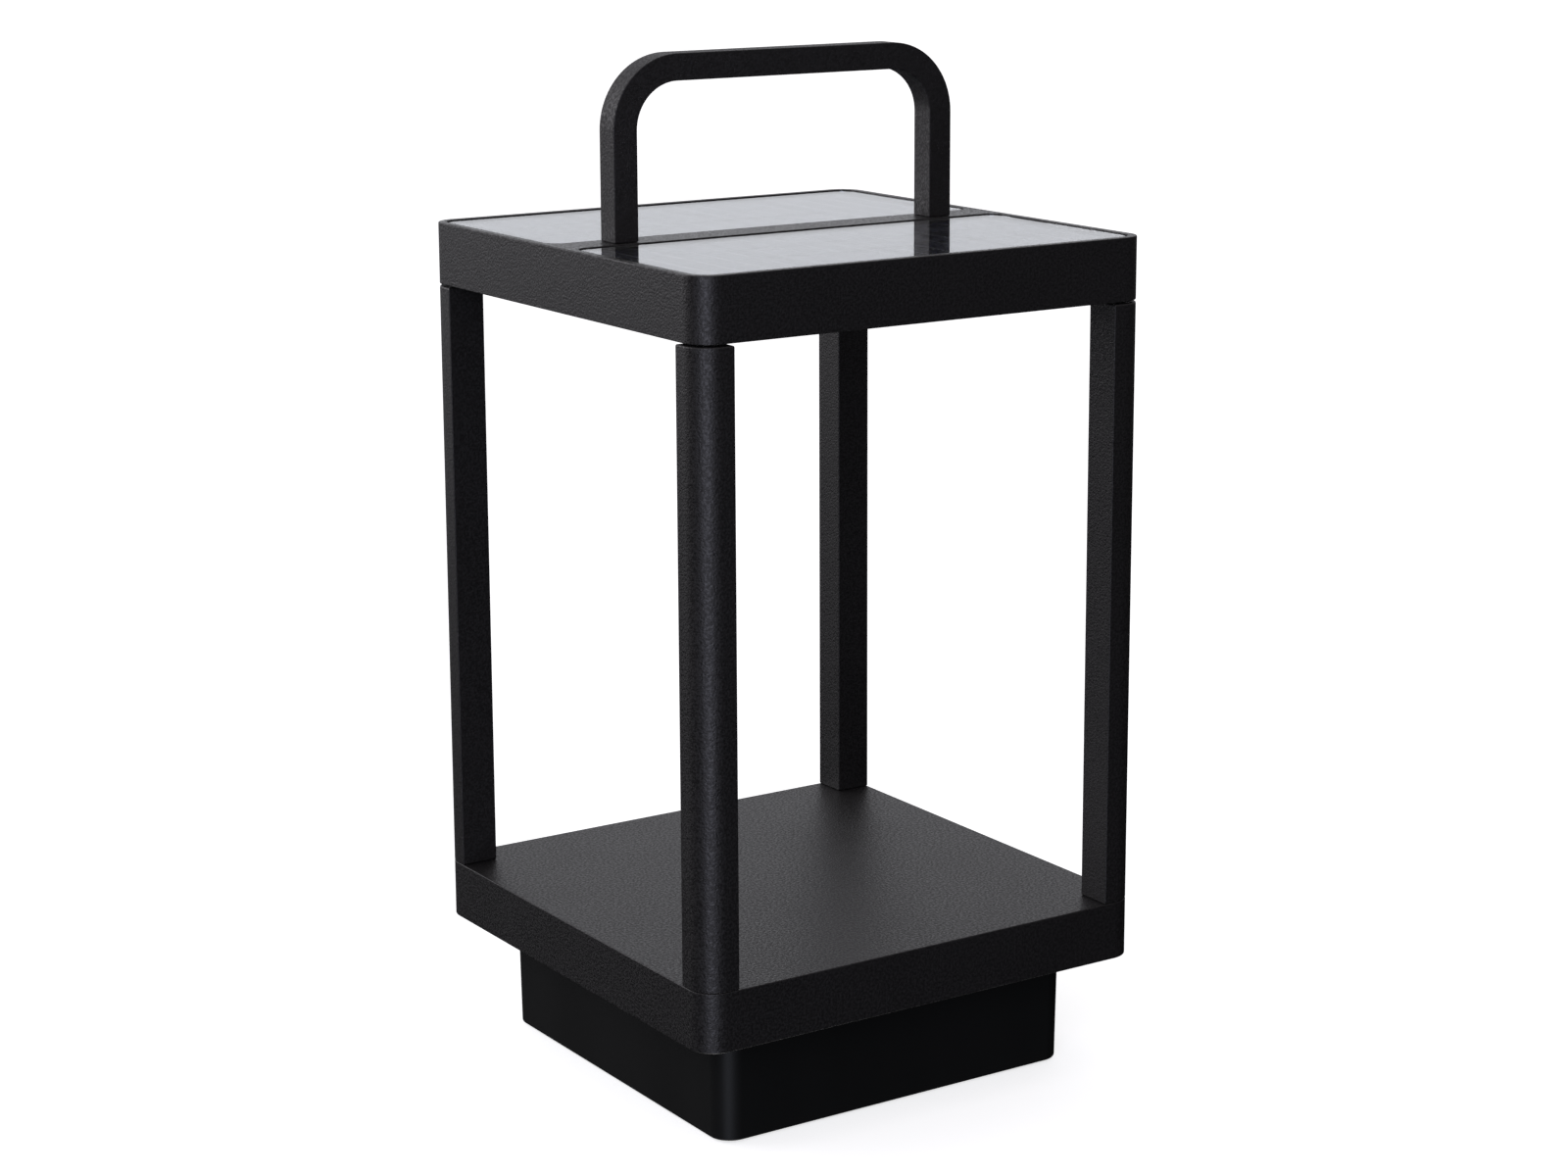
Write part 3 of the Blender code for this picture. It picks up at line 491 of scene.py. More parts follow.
def opal_plastic(board, place, colour):
    """Milky light cover with a satin skin."""
    haze = board.noise(place, 45.0, detail=4.0)
    grain = board.noise(place, 2600.0, detail=1.0)
    return {
        "IOR": 1.49,
        "Base Color": board.blend(haze, tone(colour, 0.95), tone(colour, 1.03)),
        "Roughness": 0.38 + haze * 0.08,
        "Normal": board.bump(grain, 0.12, 0.00003),
    }


def board_laminate(board, place, colour, track_colour):
    """Circuit board: solder resist over branching tracks, with bare pads."""
    weave = board.noise(place, 1500.0, detail=1.0)
    web = board.cells(place, 320.0, spread=0.35, feature="DISTANCE_TO_EDGE")
    tracks = 1.0 - board.smooth(web, 0.04, 0.09)
    pads = 1.0 - board.smooth(board.cells(place, 240.0, spread=0.1), 0.16, 0.2)
    resist = board.blend(tracks, tone(colour, 0.8), tone(colour, 1.6))
    return {
        "IOR": 1.5,
        "Base Color": board.blend(pads, resist, tone(track_colour)),
        "Metallic": pads * 0.9,
        "Roughness": 0.34 + weave * 0.1,
        "Normal": board.bump(tracks + pads + weave * 0.2, 0.3, 0.00004),
    }


def lamp_board(board, place, colour, chip_colour, chip_top):
    """White aluminium board whose small light sources hang below its face."""
    _, _, z = board.axes(place)
    chips = 1.0 - board.smooth(z, chip_top - 0.0002, chip_top - 0.0001)
    cloud = board.noise(place, 120.0, detail=3.0)
    web = board.cells(place, 150.0, spread=0.3, feature="DISTANCE_TO_EDGE")
    resist = board.blend(board.smooth(web, 0.03, 0.06), tone(colour, 0.82), tone(colour))
    return {
        "IOR": 1.5,
        "Base Color": board.blend(chips, resist, tone(chip_colour)),
        "Roughness": 0.3 + cloud * 0.15,
        "Normal": board.bump(cloud, 0.1, 0.00005),
    }


def shrink_sleeve(board, place, colour, can_colour, can_end):
    """Battery cell: tight plain sleeve with bare metal at its ends."""
    x, _, _ = board.axes(place)
    bare = abs(x) > can_end
    ripple = board.noise(board.stretch(place, 0.3, 1.0, 1.0), 240.0, detail=2.0)
    return {
        "IOR": 1.5,
        "Base Color": board.blend(bare, tone(colour), tone(can_colour)),
        "Metallic": bare * 0.95,
        "Roughness": 0.28 + ripple * 0.12,
        "Normal": board.bump(ripple, 0.2, 0.00008),
    }


def wire_jacket(board, place, colour, stripe_colour):
    """Twin lead: soft jacket with a spiral marking thread."""
    x, y, z = board.axes(place)
    spiral = ((z * 260.0 + x * 420.0 + y * 420.0) % 1.0) < 0.12
    grain = board.noise(place, 2200.0, detail=2.0)
    return {
        "IOR": 1.5,
        "Base Color": board.blend(spiral, tone(colour), tone(stripe_colour)),
        "Roughness": 0.42 + grain * 0.16,
        "Normal": board.bump(grain, 0.25, 0.00005),
    }


# ---------------------------------------------------------------- what a user may change
def length_property(name, description, millimetres):
    return bpy.props.FloatProperty(
        name=name,
        description=description,
        default=millimetres * MM,
        min=0.0,
        subtype="DISTANCE",
        unit="LENGTH",
    )


def colour_property(name, description, default):
    return bpy.props.FloatVectorProperty(
        name=name,
        description=description,
        default=default,
        min=0.0,
        max=1.0,
        size=3,
        subtype="COLOR",
    )


def share_property(name, description, default):
    return bpy.props.FloatProperty(
        name=name, description=description, default=default, min=0.0, max=1.0, subtype="FACTOR"
    )


class LanternSizes(bpy.types.PropertyGroup):
    """Sizes of the shown pieces that the frame's boxes don't give."""

    corner_radius: length_property(
        "Corner radius", "Radius of the upright corners of head, posts and base", 10.0
    )
    metal_edge: length_property("Metal edge", "Rounding of the coated metal's edges", 0.5)
    post_edge: length_property("Post edge", "Rounding of the posts' and the handle's edges", 0.35)
    plastic_edge: length_property("Plastic edge", "Rounding of the moulded foot's lower edge", 0.9)
    rim: length_property("Rim", "Width of the metal rim round the two panels", 3.4)
    bar_half: length_property("Half bar", "Half the width of the bar between the panels", 8.2)
    glass_edge: length_property("Glass edge", "Rounding of the ground edge of the glass", 0.25)
    handle_bend: length_property("Handle bend", "Outer radius of the handle's two bends", 28.0)
    handle_width: length_property("Handle width", "Width of the handle's bar", 10.2)
    cell_gap: length_property("Cell gap", "Gap between neighbouring wafers in a panel", 1.2)


class LanternColours(bpy.types.PropertyGroup):
    """Colours and roughness of the finishes."""

    coat: colour_property("Powder coat", "Black coat on the metal", (0.0108, 0.0101, 0.0104))
    coat_rough: share_property("Coat roughness", "Roughness of the powder coat", 0.46)
    handle_rough: share_property("Handle roughness", "Roughness of the handle's coat", 0.56)
    top_rough: share_property("Top roughness", "Roughness of the rim and bar's flat top", 0.36)
    foot: colour_property("Foot plastic", "Black plastic of the foot", (0.0050, 0.0050, 0.0050))
    foot_rough: share_property("Foot roughness", "Roughness of the foot's plastic", 0.46)
    inner: colour_property("Inner plastic", "Plastic of the inner fittings", (0.012, 0.012, 0.013))
    glass: colour_property("Panel glass", "Tint of the cover glass", (0.93, 0.95, 0.97))
    wafer: colour_property("Solar cell", "Deep blue of the wafers", (0.006, 0.010, 0.034))
    sheet: colour_property("Back sheet", "Sheet behind the wafers", (0.008, 0.008, 0.010))
    finger: colour_property("Cell lines", "Fingers and busbars", (0.42, 0.43, 0.45))
    opal: colour_property("Opal plastic", "Milky light cover", (0.84, 0.83, 0.79))
    rubber: colour_property("Rubber", "Pads and seals", (0.014, 0.014, 0.014))
    button: colour_property("Button rubber", "Cap of the switch", (0.035, 0.035, 0.037))
    zinc: colour_property("Zinc plate", "Plated steel inside", (0.56, 0.57, 0.59))
    black_zinc: colour_property("Black zinc", "Plating of the shown screws", (0.10, 0.10, 0.105))
    laminate: colour_property("Circuit board", "Solder resist", (0.012, 0.10, 0.045))
    tracks: colour_property("Board pads", "Bare pads", (0.78, 0.62, 0.30))
    lamp_board: colour_property("Lamp board", "White board of the lamp", (0.80, 0.80, 0.78))
    chips: colour_property("Light sources", "Phosphor of the light sources", (0.85, 0.62, 0.12))
    sleeve: colour_property("Cell sleeve", "Sleeve of the battery cells", (0.02, 0.09, 0.20))
    jacket: colour_property("Wire jacket", "Jacket of the wiring", (0.02, 0.02, 0.022))
    marking: colour_property("Wire marking", "Marking thread of the wiring", (0.45, 0.03, 0.02))
    floor: colour_property("Floor", "Pale studio floor", (0.86, 0.86, 0.86))


def sizes():
    """The sizes in millimetres, under their property names."""
    group = bpy.context.scene.lantern_sizes
    return {name: getattr(group, name) / MM for name in group.__annotations__}


def colours():
    return bpy.context.scene.lantern_colours


def coat_finish(name):
    return make_finish(name, powder_coat, colours().coat, colours().coat_rough)


# ---------------------------------------------------------------- building steps
def panel_radii(side, outer, inner):
    """Corner radii of a panel's outline, larger on the side away from the bar."""
    return (outer, outer, inner, inner) if side < 0 else (inner, inner, outer, outer)


def panel_outline(side, node, outer, inner):
    """Outline of one panel's part from its node's box."""
    low, high = span(node)
    return box_outline(low, high, panel_radii(side, outer, inner), 8)


class LANTERN_OT_head_frame(bpy.types.Operator):
    """Cast head: outer band, rim and bar in one piece, with a pocket for each panel"""

    bl_idname = "lantern.head_frame"
    bl_label = "Head Frame"

    def execute(self, context):
        size = sizes()
        low, high = span("head_frame")
        glass_low = span("solar_glass_front")[0].z
        step = span("head_cover_gasket")[1].z + GASKET_GAP
        ledge = glass_low - PANEL_SEAL
        ceiling = high.z - BAR_THICKNESS
        edge = size["metal_edge"]
        skin = Skin()
        band = (
            (HEAD_SHOULDER, ceiling, 0.0), (HEAD_SHOULDER, step, 0.3),
            (HEAD_WALL, step, 0.0), (HEAD_WALL, low.z, 0.3),
            (0.0, low.z, edge * 0.7), (0.0, high.z, edge), (edge + 0.05, high.z, 0.0),
        )
        outer = square_outline(high.x, size["corner_radius"])
        roof, rim = skin.climb(outer, eased(band))
        mouths = []
        openings = []
        outer_bend = size["corner_radius"] - size["rim"]
        reach = high.x - size["rim"]
        for side, _ in PANELS:
            near = min(side * size["bar_half"], side * reach)
            far = max(side * size["bar_half"], side * reach)
            pocket = (
                (-0.4, high.z, 0.0), (0.0, high.z, 0.35), (0.0, ledge, 0.0),
                (PANEL_LEDGE, ledge, 0.2), (PANEL_LEDGE, ceiling, 0.0),
            )
            bends = panel_radii(side, outer_bend, BAR_CORNER)
            outline = box_outline((-reach, near), (reach, far), bends, 10)
            mouth, opening = skin.climb(outline, eased(pocket))
            mouths.append(mouth)
            openings.append(opening)
        skin.plate(roof, *openings)
        skin.coat = 1
        skin.plate(rim, *mouths)
        smooth_top = make_finish("coat_head_top", powder_coat, colours().coat, colours().top_rough)
        finishes = [coat_finish("coat_head"), smooth_top]
        add_piece("head_frame_shell", skin, finishes, ["head_frame"])
        return {"FINISHED"}


class LANTERN_OT_head_cover(bpy.types.Operator):
    """Cover under the head, with the lamp's hole, the switch's hole and the post pads"""

    bl_idname = "lantern.head_cover"
    bl_label = "Head Cover"

    def execute(self, context):
        size = sizes()
        low, high = span("head_bottom_cover")
        face = span("head_frame")[0].z
        top = span("head_cover_gasket")[0].z - GASKET_GAP
        skin = Skin()
        edge = ((1.2, top, 0.0), (0.0, top, 0.2), (0.0, face, 0.35), (0.4, face, 0.0))
        outer = square_outline(high.x, size["corner_radius"] - COVER_INSET)
        above, below = skin.climb(outer, eased(edge))
        upper = []
        lower = []
        button_y = middle_of("switch_button").y
        for y, radius, steps in ((0.0, LIGHT_HOLE, FINE_STEPS), (button_y, BUTTON_HOLE, 32)):
            hole = ((-0.8, face, 0.0), (0.0, face, 0.35), (0.0, top, 0.2), (-0.8, top, 0.0))
            first, last = skin.climb(round_outline(0.0, y, radius, steps), eased(hole))
            lower.append(first)
            upper.append(last)
        for word, place in zip(CORNER_NAMES, CORNERS):
            centre = middle_of(f"head_cover_screw_{word}")
            sink = ((-0.4, face, 0.0), (0.0, face, 0.2), (0.0, face + COVER_SCREW_DEPTH, 0.0))
            hole = round_outline(centre.x, centre.y, COVER_SCREW_HOLE, 24)
            lower.append(skin.pit(hole, eased(sink)))
            post_low, post_high = span(f"post_{word}")
            bend = size["corner_radius"] - PAD_INSET
            radii = [bend if corner == place else size["post_edge"] for corner in CORNERS]
            inset = Vector((PAD_INSET,) * 3)
            outline = box_outline(post_low + inset, post_high - inset, radii, 6)
            lower.append(skin.pit(outline, ((0.0, face), (0.0, low.z))))
        skin.plate(above, *upper)
        skin.plate(below, *lower)
        finish = coat_finish("coat_head_cover")
        add_piece("head_cover_plate", skin, [finish], ["head_bottom_cover"])
        return {"FINISHED"}


class LANTERN_OT_solar_panels(bpy.types.Operator):
    """Cover glass of the two panels, with wafers on a dark sheet below it"""

    bl_idname = "lantern.solar_panels"
    bl_label = "Solar Panels"

    def execute(self, context):
        size = sizes()
        glass = make_finish("cover_glass", panel_glass, colours().glass)
        sheet = make_finish("cell_sheet", moulded_plastic, colours().sheet, 0.45)
        wafer = make_finish("cell_wafers", cell_wafer, colours().wafer, colours().finger)
        for side, word in PANELS:
            low, high = span(f"solar_glass_{word}")
            edge = size["glass_edge"]
            slab = (
                (0.8, low.z, 0.0), (0.0, low.z, edge), (0.0, high.z, edge), (0.8, high.z, 0.0),
            )
            skin = Skin().solid(panel_outline(side, f"solar_glass_{word}", 6.6, 5.4), eased(slab))
            add_piece(f"cover_glass_{word}", skin, [glass], [f"solar_glass_{word}"])
            self.add_cells(size, side, word, [sheet, wafer])
        return {"FINISHED"}

    def add_cells(self, size, side, word, finishes):
        """Back sheet with three rows of four wafers, their corners clipped."""
        node = f"solar_cells_{word}"
        low, high = span(node)
        face = high.z - 0.25
        skin = Skin()
        board = ((0.0, low.z, 0.0), (0.0, face, 0.2), (0.6, face, 0.0))
        skin.solid(panel_outline(side, node, 2.6, 2.6), eased(board, 2))
        skin.coat = 1
        margin = 1.4
        columns = 4
        rows = 3
        wide = (high.x - low.x - 2 * margin + size["cell_gap"]) / columns
        deep = (high.y - low.y - 2 * margin + size["cell_gap"]) / rows
        for column in range(columns):
            for row in range(rows):
                left = low.x + margin + column * wide
                near = low.y + margin + row * deep
                far = (left + wide - size["cell_gap"], near + deep - size["cell_gap"])
                outline = box_outline((left, near), far, (2.2,) * 4, 1)
                skin.solid(outline, ((0.0, face + 0.02), (0.0, high.z - 0.05), (0.05, high.z)))
        add_piece(f"cell_laminate_{word}", skin, finishes, [node])


class LANTERN_OT_handle(bpy.types.Operator):
    """Square bar bent into a carrying bow across the bar of the head"""

    bl_idname = "lantern.handle"
    bl_label = "Handle"

    def execute(self, context):
        size = sizes()
        low, high = span("handle")
        wide = size["handle_width"]
        leg = high.x - wide / 2
        bend = size["handle_bend"] - wide / 2
        foot = span("head_frame")[1].z + SEAT_GAP
        edge = size["post_edge"]
        section = box_outline((-wide / 2, low.y), (wide / 2, high.y), (edge,) * 4, 5)
        centre_x = leg - bend
        centre_z = high.z - size["handle_bend"]
        steps = 24
        straight = centre_z - 8
        rise = [(foot, 0.4), (foot + 0.12, 0.12), (foot + 0.4, 0.0), (straight, 0.0)]
        path = [(-leg, z, math.pi / 2, inset) for z, inset in rise]
        for side, first in ((-1, math.pi), (1, math.pi / 2)):
            for step in range(steps + 1):
                turn = first - step * math.pi / (2 * steps)
                x = side * centre_x + bend * math.cos(turn)
                path.append((x, centre_z + bend * math.sin(turn), turn - math.pi / 2, 0.0))
        path += [(leg, z, -math.pi / 2, inset) for z, inset in reversed(rise)]
        skin = Skin()
        rings = []
        for x, z, travel, inset in path:
            across = Vector((-math.sin(travel), 0.0, math.cos(travel)))
            rings.append(skin.loop(Vector((x, v, z)) + across * u for u, v in section(inset)))
        for here, after in zip(rings, rings[1:]):
            skin.wall(here, after)
        skin.face(rings[0])
        skin.face(rings[-1])
        finish = make_finish("coat_handle", powder_coat, colours().coat, colours().handle_rough)
        add_piece("carry_handle", skin, [finish], ["handle"])
        return {"FINISHED"}


class LANTERN_OT_posts(bpy.types.Operator):
    """Four corner posts, rounded outside and crisp inside, seated on base and head pads"""

    bl_idname = "lantern.posts"
    bl_label = "Posts"

    def execute(self, context):
        size = sizes()
        floor = span("base_tray")[1].z
        foot = floor + SEAT_GAP
        finish = coat_finish("coat_posts")
        edge = size["post_edge"]
        for word, place in zip(CORNER_NAMES, CORNERS):
            low, high = span(f"post_{word}")
            radii = [size["corner_radius"] if corner == place else edge for corner in CORNERS]
            profile = (
                (2.0, foot, 0.0), (0.35, foot, 0.0), (0.0, floor + 0.4, 0.12),
                (0.0, high.z, 0.8), (1.8, high.z, 0.0),
            )
            skin = Skin().solid(box_outline(low, high, radii), eased(profile))
            add_piece(f"corner_post_{word}", skin, [finish], [f"post_{word}"])
        return {"FINISHED"}


class LANTERN_OT_base(bpy.types.Operator):
    """Base with its skirt, and the plate that closes it underneath"""

    bl_idname = "lantern.base"
    bl_label = "Base"

    def execute(self, context):
        size = sizes()
        low, high = span("base_tray")
        edge = size["metal_edge"]
        profile = (
            (BASE_WALL, high.z - BASE_PLATE, 0.0), (BASE_WALL, low.z, 0.3), (0.0, low.z, edge),
            (0.0, high.z, edge * 0.85), (1.9, high.z, 0.0),
        )
        skin = Skin().solid(square_outline(high.x, size["corner_radius"]), eased(profile))
        add_piece("base_shell", skin, [coat_finish("coat_base")], ["base_tray"])
        low, high = span("base_bottom_cover")
        profile = ((1.0, low.z, 0.0), (0.0, low.z, 0.3), (0.0, high.z, 0.2), (1.0, high.z, 0.0))
        outline = square_outline(high.x, size["corner_radius"] - COVER_INSET)
        skin = Skin().solid(outline, eased(profile))
        finish = coat_finish("coat_base_cover")
        add_piece("base_closing_plate", skin, [finish], ["base_bottom_cover"])
        return {"FINISHED"}


class LANTERN_OT_foot(bpy.types.Operator):
    """Moulded foot with pockets for pads, screws and the battery door underneath"""

    bl_idname = "lantern.foot"
    bl_label = "Foot"

    def execute(self, context):
        size = sizes()
        low, high = span("foot_housing")
        edge = size["plastic_edge"]
        skin = Skin()
        profile = (
            (FOOT_WALL, FOOT_FLOOR, 0.0), (FOOT_WALL, high.z - 1.3, 0.0),
            (1.5, high.z - 1.3, 0.0), (1.5, high.z, 0.2), (0.0, high.z, 0.4),
            (FOOT_TAPER, low.z, edge), (FOOT_TAPER + edge + 0.8, low.z, 0.0),
        )
        outline = square_outline(high.x, FOOT_CORNER)
        inside, under = skin.climb(outline, eased(profile, 6))
        lower = []
        upper = []
        for word in CORNER_NAMES:
            centre = middle_of(f"rubber_foot_{word}")
            sink = ((-0.6, low.z, 0.0), (0.0, low.z, 0.25), (0.0, PAD_TOP, 0.0))
            lower.append(skin.pit(round_outline(centre.x, centre.y, PAD_POCKET, 40), eased(sink)))
        for word in MID_NAMES:
            centre = middle_of(f"foot_screw_{word}")
            sink = ((-0.6, low.z, 0.0), (0.0, low.z, 0.3), (0.0, TOWER_TOP, 0.0))
            lower.append(skin.pit(round_outline(centre.x, centre.y, TOWER_BORE, 32), eased(sink)))
            tower = ((0.0, FOOT_FLOOR), (0.0, high.z - 0.5))
            upper.append(skin.pit(round_outline(centre.x, centre.y, TOWER_RADIUS, 32), tower))
        hatch = (
            (-0.7, low.z, 0.0), (0.0, low.z, 0.25), (0.0, DOOR_LEDGE, 0.0),
            (7.0, DOOR_LEDGE, 0.0), (7.0, FOOT_FLOOR, 0.0),
        )
        half_x, half_y = DOORWAY
        doorway = box_outline((-half_x, -half_y), DOORWAY, (1.8,) * 4, 6)
        first, last = skin.climb(doorway, eased(hatch))
        lower.append(first)
        upper.append(last)
        skin.plate(under, *lower)
        skin.plate(inside, *upper)
        finish = make_finish("foot_plastic", moulded_plastic, colours().foot, colours().foot_rough)
        add_piece("foot_shell", skin, [finish], ["foot_housing"])
        return {"FINISHED"}


class LANTERN_OT_battery_door(bpy.types.Operator):
    """Door of the battery bay with its two sunk screw seats and a row of grip ribs"""

    bl_idname = "lantern.battery_door"
    bl_label = "Battery Door"

    def execute(self, context):
        low, high = span("battery_door")
        right = high.x
        skin = Skin()
        outline = box_outline((-right, low.y), (right, high.y), (1.5,) * 4, 6)
        profile = ((0.9, high.z, 0.0), (0.0, high.z, 0.2), (0.0, low.z, 0.3), (1.0, low.z, 0.0))
        above, below = skin.climb(outline, eased(profile))
        skin.face(above)
        holes = []
        for word in ("front", "rear"):
            centre = middle_of(f"battery_door_screw_{word}")
            sink = ((-0.3, low.z, 0.0), (0.0, low.z, 0.15), (0.0, low.z + 1.0, 0.0))
            holes.append(skin.pit(round_outline(centre.x - 0.4, centre.y, 2.4, 24), eased(sink)))
        for rib in range(RIB_COUNT):
            left = -right + 6.0 + rib * RIB_PITCH
            groove = box_outline((left, -RIB_HALF), (left + 1.2, RIB_HALF), (0.55,) * 4, 5)
            sink = ((-0.2, low.z, 0.0), (0.0, low.z, 0.15), (0.1, low.z + 0.6, 0.0))
            holes.append(skin.pit(groove, eased(sink)))
        skin.plate(below, *holes)
        finish = make_finish("door_plastic", moulded_plastic, colours().foot, colours().foot_rough)
        add_piece("battery_bay_door", skin, [finish], ["battery_door"])
        return {"FINISHED"}


class LANTERN_OT_rubber_feet(bpy.types.Operator):
    """Four rubber pads with two shallow grip rings under each"""

    bl_idname = "lantern.rubber_feet"
    bl_label = "Rubber Feet"

    def execute(self, context):
        finish = make_finish("pad_rubber", soft_rubber, colours().rubber, 0.78)
        for word in CORNER_NAMES:
            high = span(f"rubber_foot_{word}")[1]
            centre = middle_of(f"rubber_foot_{word}")
            profile = (
                (0.0, high.z, 0.0), (0.0, 0.0, 0.8), (1.7, 0.0, 0.1), (1.9, 0.35, 0.1),
                (2.4, 0.35, 0.1), (2.6, 0.0, 0.1), (3.6, 0.0, 0.1), (3.8, 0.35, 0.1),
                (4.3, 0.35, 0.1), (4.5, 0.0, 0.1), (5.6, 0.0, 0.0),
            )
            outline = round_outline(centre.x, centre.y, high.x - centre.x, 48)
            skin = Skin().solid(outline, eased(profile))
            add_piece(f"rubber_pad_{word}", skin, [finish], [f"rubber_foot_{word}"])
        return {"FINISHED"}


class LANTERN_OT_lamp(bpy.types.Operator):
    """Opal light cover and the slim ring round it"""

    bl_idname = "lantern.lamp"
    bl_label = "Lamp"

    def execute(self, context):
        low, high = span("light_diffuser")
        reach = high.x
        profile = (
            (47.0, low.z + 0.1, 0.0), (reach - 42.0, low.z, 2.0), (4.0, low.z + 0.6, 1.0),
            (3.1, low.z + 1.9, 0.6), (3.1, high.z - 1.5, 0.3), (0.0, high.z - 1.5, 0.2),
            (0.0, high.z, 0.3), (4.8, high.z, 0.2), (4.8, low.z + 2.2, 0.4),
            (6.4, low.z + 1.6, 0.4), (47.0, low.z + 1.6, 0.0),
        )
        skin = Skin().solid(round_outline(0.0, 0.0, reach, FINE_STEPS), eased(profile))
        finish = make_finish("opal_cover", opal_plastic, colours().opal)
        add_piece("opal_light_cover", skin, [finish], ["light_diffuser"])
        low, high = span("diffuser_bezel")
        profile = (
            (6.5, low.z, 0.0), (1.4, low.z, 0.6), (0.0, low.z + 0.75, 0.3), (0.0, high.z, 0.0),
            (6.5, high.z, 0.0),
        )
        skin = Skin()
        skin.hoop(round_outline(0.0, 0.0, high.x, FINE_STEPS), eased(profile))
        finish = make_finish("bezel_plastic", moulded_plastic, colours().inner, 0.4)
        add_piece("lamp_ring", skin, [finish], ["diffuser_bezel"])
        return {"FINISHED"}


class LANTERN_OT_button(bpy.types.Operator):
    """Push button: domed edge, dished face, flange inside the cover and its plunger"""

    bl_idname = "lantern.button"
    bl_label = "Button"

    def execute(self, context):
        low, high = span("switch_button")
        centre = middle_of("switch_button")
        flange = high.x - centre.x
        profile = (
            (flange - 0.6, low.z + 0.45, 0.0), (flange - 3.4, low.z + 0.35, 0.6),
            (flange - 4.4, low.z, 0.5), (flange - 5.0, low.z, 0.5),
            (flange - 6.0, low.z + 0.9, 0.4), (flange - 6.0, FLANGE[0], 0.0),
            (0.0, FLANGE[0], 0.2), (0.0, FLANGE[1], 0.2), (flange - 2.0, FLANGE[1], 0.0),
            (flange - 2.0, high.z, 0.2), (flange - 0.6, high.z, 0.0),
        )
        skin = Skin().solid(round_outline(centre.x, centre.y, flange, 48), eased(profile))
        finish = make_finish("button_rubber", soft_rubber, colours().button, 0.55)
        add_piece("push_button", skin, [finish], ["switch_button"], BUTTON_BODY)
        return {"FINISHED"}


class LANTERN_OT_screws(bpy.types.Operator):
    """Black-plated socket screws that show from below"""

    bl_idname = "lantern.screws"
    bl_label = "Screws"

    def execute(self, context):
        finish = make_finish("black_zinc", plated_steel, colours().black_zinc, 0.38)
        kinds = (
            ("head_cover_screw", "cover_screw", CORNER_NAMES, 1.0, 1.25, 1.0),
            ("foot_screw", "tower_screw", MID_NAMES, 2.7, 1.5, 1.3),
            ("battery_door_screw", "door_screw", ("front", "rear"), 0.7, 1.25, 0.8),
        )
        for node, name, words, *measures in kinds:
            for word in words:
                self.add_screw(f"{node}_{word}", f"{name}_{word}", *measures, finish)
        return {"FINISHED"}

    def add_screw(self, node, name, head, shank, flat, finish):
        """Screw with its head at the bottom of the node's box and a hexagon socket in it."""
        low, high = span(node)
        centre = (low + high) / 2
        radius = (high.x - low.x) / 2
        steps = 36
        skin = Skin()
        deep = min(head * 0.7, 1.6)
        outline = round_outline(centre.x, centre.y, radius, steps)
        profile = (
            (radius - 0.2, high.z, 0.0), (radius - shank, high.z - 0.8, 0.0),
            (radius - shank, low.z + head, 0.0), (0.0, low.z + head, 0.1),
            (0.0, low.z, 0.25), (radius - flat * 1.45, low.z, 0.0),
        )
        tip, rim = skin.climb(outline, eased(profile))
        mouth = skin.ring(hexagon(centre.x, centre.y, flat, steps), low.z + 0.08)
        floor = skin.ring(hexagon(centre.x, centre.y, flat * 0.97, steps), low.z + deep)
        skin.wall(rim, mouth)
        skin.wall(mouth, floor)
        skin.face(floor)
        skin.face(tip)
        add_piece(name, skin, [finish], [node])


class LANTERN_OT_inner_parts(bpy.types.Operator):
    """Finishes for the nodes that keep their own meshes inside head, base and foot"""

    bl_idname = "lantern.inner_parts"
    bl_label = "Inner Parts"

    def execute(self, context):
        paint = colours()
        seal = make_finish("seal_rubber", soft_rubber, paint.rubber, 0.8)
        plastic = make_finish("inner_plastic", moulded_plastic, paint.inner, 0.42)
        steel = make_finish("zinc_plate", plated_steel, paint.zinc, 0.34)
        green = make_finish("board_laminate", board_laminate, paint.laminate, paint.tracks)
        chip_top = span("led_board")[0].z * MM + 0.0009
        lamp = make_finish("lamp_board", lamp_board, paint.lamp_board, paint.chips, chip_top)
        cell_end = span("battery_cell_front")[1].x * MM - 0.0008
        sleeve = make_finish("cell_sleeve", shrink_sleeve, paint.sleeve, paint.zinc, cell_end)
        jacket = make_finish("wire_jacket", wire_jacket, paint.jacket, paint.marking)
        finishes = (
            (seal, (
                "head_cover_gasket", "panel_gasket_front", "panel_gasket_rear",
                "diffuser_gasket", "foot_gasket", "battery_door_gasket",
            )),
            (plastic, ("battery_holder", "switch_collar", "tact_switch")),
            (green, ("charge_controller_board", "switch_board")),
            (lamp, ("led_board",)),
            (sleeve, ("battery_cell_front", "battery_cell_rear")),
            (jacket, ("wiring_loom",)),
            (steel, ("ballast_plate", "ballast_bolt", "handle_screw_left", "handle_screw_right")),
            (steel, [f"post_screw_top_{word}" for word in CORNER_NAMES]),
            (steel, [f"post_screw_bottom_{word}" for word in CORNER_NAMES]),
        )
        for finish, names in finishes:
            for name in names:
                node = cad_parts[name]
                for slot in node.material_slots:
                    slot.material = finish
        return {"FINISHED"}


